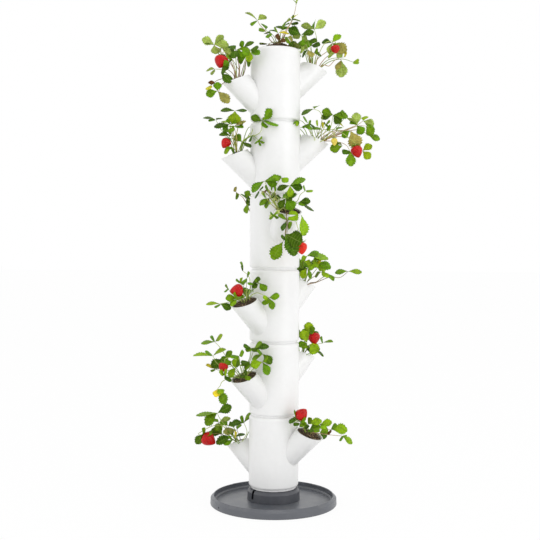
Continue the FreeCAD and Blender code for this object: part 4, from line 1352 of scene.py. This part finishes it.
@dataclass(frozen=True)
class SepalShape:
    """The proportions of the pointed sepals on a berry.

    Attributes:
        count: how many there are.
        outline: how wide a sepal is at some shares of its length, as a share of its widest.
        shift: how far it may be turned aside, in radians.
        lengths: the range of its length, as a share of the berry's radius.
        half_width: half its width, as a share of its length.
        curls: the range of how far its tip bends up, as a share of its length.
        sag: how far its middle bends down, as a share of its length.
        lift: how far it lies above the berry.
        keel: how high its middle line stands, as a share of half its width.
        thickness: how thick it is.
    """
    count: int = 11
    outline: tuple[Pixel, ...] = ((0, 0.35), (0.3, 0.9), (0.6, 0.8), (1.0, 0.06))
    shift: float = 0.15
    lengths: Range = (0.72, 1.0)
    half_width: float = 0.2
    curls: Range = (-0.2, 0.35)
    sag: float = 0.12
    lift: float = 0.0007
    keel: float = 0.25
    thickness: float = 0.0003

    def points(self, base: Vector, up: Vector, out: Vector, length: float, curl: float) -> list[Vector]:
        """The points of one sepal, four to a step.

        Args:
            base: the middle of the calyx.
            up: the way out of the berry there.
            out: the way that the sepal points.
            length: how long it is.
            curl: how far its tip bends up.

        Returns:
            The points.
        """
        across, width, points = up.cross(out), length * self.half_width, []
        for share, half in self.outline:
            bend = curl * share * share - self.sag * share * (1 - share)
            centre = base + out * length * share + up * (self.lift + length * bend)
            points += [centre - across * width * half, centre + up * width * self.keel,
                       centre + across * width * half, centre - up * self.thickness]
        return points

    def faces(self) -> list[tuple[int, ...]]:
        """The faces of one sepal."""
        last = 4 * len(self.outline) - 1
        return [*band_faces(len(self.outline) - 1, 4), (0, 1, 2, 3), (last, last - 1, last - 2, last - 3)]


@dataclass
class StrawberryPlant:
    """A strawberry plant: its crown, stalks, leaflets, buds and berries. Its sizes are in metres.

    Attributes:
        plan: the plant as the photograph shows it.
        camera: the photograph's camera.
        tower: the moulded parts.
        finishes: the materials.
        tubes: makes the stalks.
        achenes: makes the seeds.
        leaflet: the shape of its leaflets.
        sepal: the shape of its berries' sepals.
        leaflet_length: how long a leaflet is that points towards the camera or away.
        shortest_leaflet: how long a leaflet is at least.
        width_share: how wide it is at least, as a share of its length.
        width_spread: the range by which that share differs.
        fullness: how much wider it is than the photograph shows.
        mean_turn: how far its tip may be in front of its base or behind it.
        furthest_turn: how far it may be moved forward to stay in sight.
        front: the Y in front of which no tip turns away.
        folds: the range of the fold.
        crests: the range of the arch.
        tints: the range of the tone.
        warmths: the range by which its red differs.
        loose_depth: how far a hub may be from the crown's depth where none is known, in millimetres.
        arch_share: where on a straight stalk its arch is.
        arch_lift: how high the arch is, as a share of the stalk's length.
        crown_radius: how wide the crown is.
        clearance: how far in front of the tower a hidden point is brought.
        slope: how much the soil falls outwards.
        stalk_radius: how thick a stalk is at its foot.
        hub_radius: how thick it is at its end.
        foot_spread: how far from the crown's middle a stalk starts.
        foot_reach: how far aside its end must be for that.
        foot_shift: how far its foot may be off that place, along X and along Y.
        foot_depth: how deep in the soil it starts.
        line_steps: how many steps a stalk has from one of its places to the next.
        line_sides: how many sides it has.
        greening: how green a stalk becomes towards its end.
        bud_size: half the width of a pixel, for the buds.
        bud_depth: how far in front of the crown the buds are.
        berry_lean: how far a berry's tip leans towards the front.
        berry_room: how far in front of the tower a berry's middle is brought, as a share of its radius.
        berry_stalk: how thick a berry's stalk is at its foot and at its end.
        berry_bend: how far above a berry its stalk bends over.
        seed_length: how long half a seed is.
        pale_top: how far down the top's colour reaches, as a share of the berry's length.
        dark_tip: where the tip's colour starts.
    """
    plan: PlantPlan
    camera: PhotoCamera
    tower: BVHTree
    finishes: Finishes
    tubes: ShapeTree
    achenes: ShapeTree
    leaflet: LeafletShape = field(default_factory=LeafletShape)
    sepal: SepalShape = field(default_factory=SepalShape)
    leaflet_length: float = 0.034
    shortest_leaflet: float = 0.004
    width_share: float = 0.8
    width_spread: Range = (0.85, 1.05)
    fullness: float = 1.08
    mean_turn: float = 0.02
    furthest_turn: float = 0.04
    front: float = -0.06
    folds: Range = (-0.1, 0.2)
    crests: Range = (0.02, 0.1)
    tints: Range = (0.86, 1.14)
    warmths: Range = (-0.08, 0.2)
    loose_depth: float = 18.0
    arch_share: float = 0.55
    arch_lift: float = 0.25
    crown_radius: float = 0.006
    clearance: float = 0.007
    slope: float = 0.376
    stalk_radius: float = 0.0015
    hub_radius: float = 0.0007
    foot_spread: float = 0.009
    foot_reach: float = 0.05
    foot_shift: Range = (0.002, 0.005)
    foot_depth: float = 0.002
    line_steps: int = 6
    line_sides: int = 7
    greening: float = 0.35
    bud_size: float = 0.0015
    bud_depth: float = 0.02
    berry_lean: float = 0.25
    berry_room: float = 0.6
    berry_stalk: Range = (0.0011, 0.0009)
    berry_bend: float = 0.014
    seed_length: float = 0.0008
    pale_top: float = 0.16
    dark_tip: float = 0.75

    def __post_init__(self) -> None:
        """Starts the drafts and the plant's own random draws."""
        self.crown = Vector(self.plan.crown) * MM
        self.draws = random.Random(sum(map(ord, self.plan.label)) * 7 + self.plan.level)
        self.blades = MeshDraft()
        self.lines: list[tuple[list[Vector], float, float, Colour]] = []
        self.trim = MeshDraft()
        self.flesh = MeshDraft()
        self.seeds: list[tuple[Vector, Vector]] = []

    def in_sight(self, pixel: Pixel, depth: float, hidden: bool = False) -> Vector:
        """The point at a pixel and depth, brought forward where the tower would hide it.

        Args:
            pixel: the place in the photograph.
            depth: the point's Y.
            hidden: true to leave it where it is.

        Returns:
            The point.
        """
        point = self.camera.point(pixel, depth)
        if hidden:
            return point
        eye = Vector(self.camera.position)
        way = point - eye
        hit, _, _, distance = self.tower.ray_cast(eye, way.normalized())
        if hit is not None and distance < way.length + self.clearance:
            return eye + way.normalized() * (distance - self.clearance)
        return point

    def build(self) -> list[Object]:
        """Builds the plant's pieces and ties them to their tier.

        Returns:
            The pieces.
        """
        label = self.plan.label
        for frond in self.plan.fronds:
            self.add_frond(frond)
        for berry in self.plan.berries:
            self.add_berry(berry)
        for x, y, diameter in self.plan.buds:
            self.add_bud((x, y), diameter)
        self.add_crown()
        leaves = new_piece(f"leaves_{label}", self.blades.mesh(f"leaves_{label}"),
                           [self.finishes.leaf_top, self.finishes.leaf_under])
        solid = leaves.modifiers.new("blade_thickness", "SOLIDIFY")
        solid.thickness = self.leaflet.thickness
        solid.offset = -1
        solid.material_offset = 1
        pieces = [leaves, self.stalk_piece()]
        for piece in pieces:
            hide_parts(f"strawberry_{label}_plant")
        if self.plan.berries:
            fruit = self.berry_piece()
            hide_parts(f"strawberry_{label}_berries")
            pieces.append(fruit)
        for piece in pieces:
            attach(piece, f"tier_{self.plan.level}")
        return pieces

    def add_frond(self, frond: Frond) -> None:
        """Adds a stalk and its leaflets."""
        spread = frond.depth
        if spread is None:
            spread = self.draws.uniform(-self.loose_depth, self.loose_depth)
        hub = self.in_sight(frond.hub, self.crown.y + spread * MM, frond.hidden)
        way = [self.foot(hub)]
        for number, pixel in enumerate(frond.via, 1):
            share = number / (len(frond.via) + 1)
            between = self.crown.y * (1 - share) + hub.y * share
            way.append(self.in_sight(pixel, between, frond.hidden))
        if not frond.via:
            lift = Vector((0, 0, self.arch_lift * (hub - self.crown).length))
            way.append(self.crown.lerp(hub, self.arch_share) + lift)
        way.append(hub)
        self.lines.append((way, self.stalk_radius, self.hub_radius, frond.stalk.value))
        for leaf in frond.leaves:
            self.add_leaflet(hub, leaf, frond.hidden)

    def foot(self, hub: Vector) -> Vector:
        """Where a stalk leaves the soil: off the crown, to the side that its end is on.

        Args:
            hub: the stalk's far end.

        Returns:
            The point.
        """
        side = max(-1.0, min((hub.x - self.crown.x) / self.foot_reach, 1.0))
        shift_x, shift_y = (self.draws.uniform(-reach, reach) for reach in self.foot_shift)
        spread = Vector((side * self.foot_spread + shift_x, shift_y, 0))
        lean = Vector((self.crown.x, self.crown.y, 0))
        lean = lean.normalized() if self.plan.side != "top" else Vector((0, 0, 0))
        return self.crown + spread - Vector((0, 0, spread.dot(lean) * self.slope + self.foot_depth))

    def add_leaflet(self, base: Vector, leaf: LeafTip, hidden: bool) -> None:
        """Adds one leaflet from its base to the tip and width that the photograph shows.

        Args:
            base: where it starts.
            leaf: its tip's pixel, its width as it is seen, and its tone.
            hidden: true where it isn't moved into sight.
        """
        x, y, width, tone = leaf
        top, under, shows_underside = tone.value
        flat = self.camera.point((x, y), base.y) - base
        spare = math.sqrt(max(self.leaflet_length ** 2 - flat.length_squared, 0.0))
        spare = min(spare, self.mean_turn)
        sign = 1 if hidden or (base.y > self.front and self.draws.random() < 0.5) else -1
        tip = self.in_sight((x, y), base.y + sign * spare, hidden)
        if abs(tip.y - base.y) > self.furthest_turn:
            tip = self.camera.point((x, y), base.y + spare / 2)
        axis = tip - base
        length = max(axis.length, self.shortest_leaflet)
        axis = axis / length
        view = self.camera.sight((x, y))
        across = axis.cross(view).normalized()
        facing = across.cross(axis)
        if facing.dot(view) > 0:
            facing = -facing
        seen = width * self.camera.pixel_size(base) * self.fullness
        real = max(seen, length * self.width_share * self.draws.uniform(*self.width_spread))
        tilt = math.acos(min(seen / real, 1.0))
        side = -1 if shows_underside else 1
        normals = [facing * (side * math.cos(tilt)) - across * (turn * math.sin(tilt)) for turn in (1, -1)]
        normal = max(normals, key=lambda vector: vector.z)
        lateral = normal.cross(axis).normalized()
        fold, crest, tint, warm = (self.draws.uniform(*limits)
                                   for limits in (self.folds, self.crests, self.tints, self.warmths))
        grid = self.leaflet.grid(length, real, fold, crest)
        points = [base + axis * p.x + lateral * p.y + normal * p.z for p, _ in grid]
        self.blades.add(points, self.leaflet.faces(), 0, [place for _, place in grid],
                        leaf_top=tuple(min(c * tint * gain, 1.0) for c, gain in zip(top, (1 + warm, 1, 1))),
                        leaf_under=tuple(min(c * tint, 1.0) for c in under))

    def add_crown(self) -> None:
        """Adds the short scaly crown with the stubs of old stalks."""
        scales, turn, foot_radius, end_radius = 7, 2.4, 0.0028, 0.0012
        foot_share, end_share, tone_step = 0.7, 1.3, 0.25
        depth, height, step, bulge = 0.004, 0.007, 0.0006, 0.0008
        for number in range(scales):
            kind = number % 3
            out = Vector((math.cos(number * turn), math.sin(number * turn), 0))
            foot = self.crown + out * self.crown_radius * foot_share - Vector((0, 0, depth))
            end = self.crown + out * self.crown_radius * end_share + Vector((0, 0, height + step * kind))
            self.lines.append(([foot, foot.lerp(end, 0.5) - out * bulge, end], foot_radius, end_radius,
                               mixed(BROWN.value, GREEN.value, tone_step * kind)))

    def stalk_piece(self) -> Object:
        """The piece of all stalks, with the buds."""
        label = self.plan.label
        mesh = bpy.data.meshes.new(f"stalk_lines_{label}")
        points, edges, thickness, tints = [], [], [], []
        for way, start, end, colour in self.lines:
            line = smooth_path(way, self.line_steps)
            first, count = len(points), len(line)
            points.extend(line)
            edges.extend((first + i, first + i + 1) for i in range(count - 1))
            thickness.extend(start + (end - start) * i / (count - 1) for i in range(count))
            tints.extend(mixed(colour, GREEN.value, self.greening * i / count) for i in range(count))
        mesh.from_pydata(points, edges, [])
        mesh.attributes.new("thickness", "FLOAT", "POINT").data.foreach_set("value", thickness)
        mesh.attributes.new("tint", "FLOAT_COLOR", "POINT").data.foreach_set(
            "color", [value for tint in tints for value in (*tint, 1.0)])
        tubes = self.tubes.run(mesh, {"Sides": self.line_sides, "Material": self.finishes.stalk})
        tubes.polygons.foreach_set("use_smooth", [True] * len(tubes.polygons))
        if not self.trim.points:
            return new_piece(f"stalks_{label}", tubes, [self.finishes.stalk])
        trim = self.trim.mesh(f"trim_{label}")
        trim.materials.append(self.finishes.stalk)
        return joined(f"stalks_{label}", [tubes, trim])

    def add_bud(self, pixel: Pixel, diameter: float) -> None:
        """Adds a closed bud at a pixel, on a stalk of its own from the crown.

        Args:
            pixel: its place in the photograph.
            diameter: how wide it is, in pixels.
        """
        middle = self.in_sight(pixel, self.crown.y - self.bud_depth)
        radius = diameter * self.bud_size
        rings, sides, slimness, bow = 6, 8, 1.3, Vector((0, -0.004, 0.012))
        points = [middle + Vector((math.cos(2 * math.pi * s / sides) * math.sin(math.pi * r / rings) * radius,
                                   math.sin(2 * math.pi * s / sides) * math.sin(math.pi * r / rings) * radius,
                                   -math.cos(math.pi * r / rings) * radius * slimness))
                  for r in range(rings + 1) for s in range(sides)]
        faces = [(r * sides + s, r * sides + (s + 1) % sides, (r + 1) * sides + (s + 1) % sides,
                  (r + 1) * sides + s) for r in range(rings) for s in range(sides)]
        self.trim.add(points, faces, tint=LIGHT.value)
        self.lines.append(([self.crown, self.crown.lerp(middle, 0.5) + bow, middle],
                           self.stalk_radius, self.hub_radius, LIGHT.value))

    def add_berry(self, berry: Berry) -> None:
        """Adds a berry with its seeds, its calyx and its stalk.

        Args:
            berry: the berry's places in the photograph.
        """
        depth = self.crown.y + berry.depth * MM
        middle = self.in_sight(berry.middle, depth)
        pixel_size = self.camera.pixel_size(middle)
        radius, length = berry.size[0] * pixel_size / 2, berry.size[1] * pixel_size
        if middle.y < depth:
            middle = self.in_sight(berry.middle, middle.y - radius * self.berry_room)
        right, down = berry.towards
        axis = Vector((right, -self.berry_lean, -down)).normalized()
        top = middle - axis * length / 2
        body = BerryBody(top, axis, length, radius)
        skin, tip, pale = (ripeness(berry.ripe, *part.value) for part in (Flesh.SKIN, Flesh.TIP, Flesh.TOP))
        points = body.skin()
        tints = [mixed(mixed(pale, skin, min(along / self.pale_top, 1.0)), tip, max(0.0, along - self.dark_tip))
                 for _, along in points]
        self.flesh.add((point for point, _ in points), band_faces(body.rings, body.sides), tint=skin)
        self.flesh.colours["tint"][-len(tints):] = tints
        tip_seeds, seed_depth = 0.9, 0.0004
        for along, angle in body.seed_spots():
            spot = body.surface(along, angle)
            outward = body.outward(spot, min(along, tip_seeds))
            self.seeds.append((spot - outward * seed_depth, outward))
        self.add_calyx(top, -axis, radius)
        height, forward, lift, sunk = 0.003, 0.004, 0.3, 0.001
        bend = top - axis * self.berry_bend
        start = self.crown + Vector((0, 0, height))
        arch = start.lerp(bend, 0.5) + Vector((0, -forward, lift * (start - bend).length))
        self.lines.append(([start, arch, bend, top + axis * sunk], *self.berry_stalk, LIGHT.value))

    def add_calyx(self, middle: Vector, up: Vector, radius: float) -> None:
        """Adds the ring of pointed sepals at the top of a berry.

        Args:
            middle: the middle of the berry's top.
            up: the way out of the berry there.
            radius: the berry's radius.
        """
        sepal, faces = self.sepal, self.sepal.faces()
        side = up.orthogonal().normalized()
        other = up.cross(side)
        for number in range(sepal.count):
            angle = 2 * math.pi * number / sepal.count + self.draws.uniform(-sepal.shift, sepal.shift)
            out = side * math.cos(angle) + other * math.sin(angle)
            length = radius * self.draws.uniform(*sepal.lengths)
            curl = self.draws.uniform(*sepal.curls)
            self.flesh.add(sepal.points(middle, up, out, length, curl), faces, 1,
                           tint=mixed(MID.value[0], BRIGHT.value[0], self.draws.random()))

    def berry_piece(self) -> Object:
        """The piece of the plant's berries with seeds and sepals."""
        label = self.plan.label
        flesh = self.flesh.mesh(f"berries_{label}")
        flesh.materials.append(self.finishes.berry)
        flesh.materials.append(self.finishes.stalk)
        points = bpy.data.meshes.new(f"seed_points_{label}")
        points.from_pydata([spot for spot, _ in self.seeds], [], [])
        points.attributes.new("outward", "FLOAT_VECTOR", "POINT").data.foreach_set(
            "vector", [value for _, outward in self.seeds for value in outward])
        achenes = self.achenes.run(points, {"Length": self.seed_length, "Material": self.finishes.achene})
        return joined(f"berries_{label}", [flesh, achenes])


@dataclass(frozen=True)
class Litter:
    """One kind of loose bits on the soil.

    Attributes:
        finish: its material.
        seed: the seed of its places.
        density: how many lie on a square metre.
        smallest: how large the smallest is.
        largest: how large the largest is.
        proportions: the sides of a bit of size 1, in metres.
    """
    finish: Material
    seed: int
    density: float
    smallest: float
    largest: float
    proportions: tuple[float, float, float]


@dataclass
class SoilBed:
    """The soil that shows in a tier's two mouths, and in the top opening of the highest tier.

    Attributes:
        level: the tier, counted from the ground.
        spots: where the crowns of its plants stand.
        tower: the moulded parts.
        finishes: the materials.
        scatter: strews the loose bits.
        slope: how far a mouth leans outwards.
        depth: how thick the bed is.
        mouth_heap: how far its middle stands above its edge in a mouth.
        mouth_lift: how far it lies above the crown's place there.
        mouth_fall: how it steepens towards the edge there.
        top_heap: how far its middle stands above its edge in the top opening.
        top_shift: how far the heap's middle is to the right there.
        top_fall: how it steepens towards the edge there.
        rings: how many steps it has from the middle to the edge.
        spokes: how many steps it has around.
        gap: how far it stays away from the wall.
        widest: how far away the wall is looked for.
        open_reach: how far it goes where there is no wall.
        lump_scale: how fine its lumps are.
        lump_height: how high they are.
        calm: how much less lumpy it is at its edge.
        droop: how far its edge hangs down.
        inset: how far its underside stays inside its edge.
        near_axis: how near the axis a spot is that is in the top opening.
    """
    level: int
    spots: tuple[Vector, ...]
    tower: BVHTree
    finishes: Finishes
    scatter: ShapeTree
    slope: float = math.radians(20.6)
    depth: float = 0.014
    mouth_heap: float = 0.004
    mouth_lift: float = 0.006
    mouth_fall: float = 2.2
    top_heap: float = 0.026
    top_shift: float = 0.006
    top_fall: float = 1.6
    rings: int = 9
    spokes: int = 48
    gap: float = 0.0004
    widest: float = 0.09
    open_reach: float = 0.03
    lump_scale: float = 90
    lump_height: float = 0.0035
    calm: float = 0.7
    droop: float = 0.002
    inset: float = 0.001
    near_axis: float = 0.01

    def plug(self, draft: MeshDraft, middle: Vector, slope: float, heap: float) -> None:
        """Adds one closed body of soil whose top fills the opening around a point.

        Args:
            draft: where it is added.
            middle: the middle of its top.
            slope: how far the top leans outwards.
            heap: how far the middle stands above the edge.
        """
        out = Vector((middle.x, middle.y, 0)).normalized()
        down = out * math.cos(slope) - Vector((0, 0, math.sin(slope)))
        across = Vector((0, 0, 1)).cross(out)
        up = down.cross(across)
        middle = middle + up * (self.mouth_lift if slope else 0.0)
        below = (Vector((0, 0, -1)) - out * (1 if slope else 0)).normalized()
        edges = []
        for spoke in range(self.spokes):
            angle = 2 * math.pi * spoke / self.spokes
            way = down * math.cos(angle) + across * math.sin(angle)
            hit, _, _, distance = self.tower.ray_cast(middle, way, self.widest)
            edges.append((way, (distance if hit is not None else self.open_reach) - self.gap))
        points = [middle + up * heap]
        for ring in range(1, self.rings + 1):
            share = ring / self.rings
            fall = share ** (self.mouth_fall if slope else self.top_fall)
            for way, reach in edges:
                spot = middle + way * reach * share
                lumps = noise.fractal(spot * self.lump_scale, 1.0, 2.0, 4)
                rough = lumps * self.lump_height * (1 - self.calm * share ** 4)
                points.append(spot + up * (heap * (1 - fall) + rough - self.droop * share ** 6))
        points.extend(middle + way * (reach - self.inset) + below * self.depth for way, reach in edges)
        points.append(middle + below * self.depth)
        faces = [(0, 1 + s, 1 + (s + 1) % self.spokes) for s in range(self.spokes)]
        for ring in range(self.rings):
            start = 1 + ring * self.spokes
            for s in range(self.spokes):
                n = (s + 1) % self.spokes
                faces.append((start + s, start + self.spokes + s, start + self.spokes + n, start + n))
        last = 1 + self.rings * self.spokes
        faces += [(last + (s + 1) % self.spokes, last + s, len(points) - 1) for s in range(self.spokes)]
        draft.add(points, faces)

    def build(self) -> Object:
        """Builds the soil of the tier.

        Returns:
            The piece.
        """
        name = f"soil_bed_{self.level}"
        draft = MeshDraft()
        for spot in self.spots:
            if Vector((spot.x, spot.y, 0)).length > self.near_axis:
                self.plug(draft, spot, self.slope, self.mouth_heap)
            else:
                self.plug(draft, spot + Vector((self.top_shift, 0, -self.top_heap)), 0.0, self.top_heap)
        bed = draft.mesh(name)
        bed.materials.append(self.finishes.soil)
        parts = [bed]
        for kind in (Litter(self.finishes.crumb, 3, 42000.0, 0.4, 1.5, (0.0016, 0.0013, 0.0011)),
                     Litter(self.finishes.chip, 5, 9000.0, 0.5, 1.6, (0.0040, 0.0011, 0.0008)),
                     Litter(self.finishes.soil, 8, 1500.0, 1.2, 2.4, (0.0020, 0.0017, 0.0014))):
            parts.append(self.scatter.run(bed.copy(), {
                "Density": kind.density, "Seed": kind.seed + self.level, "Smallest": kind.smallest,
                "Largest": kind.largest, "Proportions": kind.proportions, "Material": kind.finish}))
        piece = joined(name, parts)
        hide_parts(f"soil_{self.level}")
        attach(piece, f"tier_{self.level}")
        return piece


@dataclass(frozen=True)
class TowerShell:
    """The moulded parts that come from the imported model."""
    tiers: int = 6

    def dress(self, nodes: dict[str, Object], finishes: Finishes) -> None:
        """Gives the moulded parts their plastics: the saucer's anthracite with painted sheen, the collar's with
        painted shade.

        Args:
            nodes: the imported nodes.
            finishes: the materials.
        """
        plan = {"saucer": finishes.saucer, "base_collar": finishes.collar}
        plan.update({f"tower_module_{level}": finishes.white for level in range(1, self.tiers + 1)})
        for name, material in plan.items():
            mesh = nodes[name].data
            mesh.materials.clear()
            mesh.materials.append(material)
            LOG.info("%s is %s", name, material.name)

    def tree(self, nodes: dict[str, Object]) -> BVHTree:
        """A search tree of all moulded parts."""
        points, faces = [], []
        for name, node in nodes.items():
            if name.startswith(("tower_module", "saucer", "base_collar")):
                start = len(points)
                points.extend(vertex.co.copy() for vertex in node.data.vertices)
                faces.extend(tuple(start + i for i in polygon.vertices) for polygon in node.data.polygons)
        return BVHTree.FromPolygons(points, faces)


@dataclass(frozen=True)
class Lamp:
    """A soft round lamp.

    Attributes:
        name: its name.
        place: where it hangs.
        size: its diameter.
        power: its power, in watts.
    """
    name: str
    place: tuple[float, float, float]
    size: float
    power: float

    def hang(self, target: Vector) -> None:
        """Hangs the lamp, facing a point."""
        data = bpy.data.lights.new(self.name, "AREA")
        data.shape = "DISK"
        data.size = self.size
        data.energy = self.power
        lamp = bpy.data.objects.new(self.name, data)
        turn = (target - Vector(self.place)).to_track_quat("-Z", "Y").to_matrix().to_4x4()
        lamp.matrix_world = Matrix.Translation(self.place) @ turn
        bpy.context.scene.collection.objects.link(lamp)


@dataclass(frozen=True)
class Studio:
    """The pale floor, the white surroundings and the soft lamps.

    Attributes:
        floor_size: the floor's sides.
        floor_colour: the floor's colour where light falls on it.
        floor_glow: how much of the floor's look is plain white.
        ambient: the strength of the surroundings as light.
        front_dim: how much weaker they are on the viewer's side.
        target: how high the point is that the lamps face.
        lamps: the lamps on the right, on the left and above.
    """
    floor_size: float = 60.0
    floor_colour: Colour = (0.9, 0.9, 0.9)
    floor_glow: float = 0.93
    ambient: float = 0.98
    front_dim: float = 0.15
    target: float = 0.75
    lamps: tuple[Lamp, ...] = (
        Lamp("key_lamp", (2.8, -2.0, 1.1), 2.0, 20.0),
        Lamp("fill_lamp", (-2.6, -1.6, 0.8), 2.0, 8.0),
        Lamp("overhead_lamp", (0.4, -1.9, 4.0), 1.6, 14.0),
    )

    def floor(self) -> None:
        """Lays the floor, which shows white to the camera and keeps a faint shadow."""
        half = self.floor_size / 2
        mesh = bpy.data.meshes.new("studio_floor")
        mesh.from_pydata([(-half, -half, 0), (half, -half, 0), (half, half, 0), (-half, half, 0)], [], [(0, 1, 2, 3)])
        material, tree, shader = new_material("floor_white")
        set_inputs(shader, {"Base Color": (*self.floor_colour, 1), "Roughness": 0.95})
        path = add_node(tree, "ShaderNodeLightPath").outputs
        seen = maths(tree, "MAXIMUM", path["Is Camera Ray"], path["Is Glossy Ray"])
        glow = add_node(tree, "ShaderNodeEmission", {"Color": (1, 1, 1, 1), "Strength": 1.0})
        share = maths(tree, "MULTIPLY", seen, self.floor_glow)
        mix = add_node(tree, "ShaderNodeMixShader", {0: share, 1: shader.outputs[0], 2: glow.outputs[0]})
        tree.links.new(mix.outputs[0], tree.nodes["Material Output"].inputs["Surface"])
        mesh.materials.append(material)
        floor = bpy.data.objects.new("studio_floor", mesh)
        bpy.context.scene.collection.objects.link(floor)

    def surroundings(self) -> None:
        """Makes the world white to the camera and in reflections, and softer as light."""
        world = bpy.data.worlds.new("studio_white")
        bpy.context.scene.world = world
        world.use_nodes = True
        tree = world.node_tree
        path = add_node(tree, "ShaderNodeLightPath").outputs
        seen = maths(tree, "MAXIMUM", path["Is Camera Ray"],
                     maths(tree, "MAXIMUM", path["Is Glossy Ray"], path["Is Transmission Ray"]))
        way = add_node(tree, "ShaderNodeSeparateXYZ", {0: add_node(tree, "ShaderNodeTexCoord").outputs["Generated"]})
        sideways, straight_on = 0.3, 0.95
        front = ramp(tree, maths(tree, "MULTIPLY", way.outputs["Y"], -1.0), sideways, straight_on)
        light = maths(tree, "MULTIPLY_ADD", front, -self.front_dim * self.ambient, self.ambient)
        strength = maths(tree, "ADD", maths(tree, "MULTIPLY", light, maths(tree, "SUBTRACT", 1.0, seen)), seen)
        set_inputs(tree.nodes["Background"], {"Color": (1, 1, 1, 1), "Strength": strength})

    def build(self) -> None:
        """Builds the floor, the world and the lamps."""
        bpy.context.scene.view_settings.view_transform = "Standard"
        self.floor()
        self.surroundings()
        for lamp in self.lamps:
            lamp.hang(Vector((0, 0, self.target)))


def main() -> None:
    """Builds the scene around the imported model."""
    logging.basicConfig(level=logging.INFO, format="%(name)s: %(message)s")
    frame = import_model()
    camera = PhotoCamera()
    camera.build()
    Studio().build()
    finishes = Finishes()
    shell = TowerShell()
    shell.dress(frame["nodes"], finishes)
    tower = shell.tree(frame["nodes"])
    tubes, achenes, scatter = tube_tree(), achene_tree(), crumb_tree()
    for plan in PLANTS:
        for piece in StrawberryPlant(plan, camera, tower, finishes, tubes, achenes).build():
            LOG.info("%s has %d faces", piece.name, len(piece.data.polygons))
    for level in range(1, shell.tiers + 1):
        spots = tuple(Vector(plan.crown) * MM for plan in PLANTS if plan.level == level)
        piece = SoilBed(level, spots, tower, finishes, scatter).build()
        LOG.info("%s has %d faces", piece.name, len(piece.data.polygons))


if __name__ == "__main__":
    main()
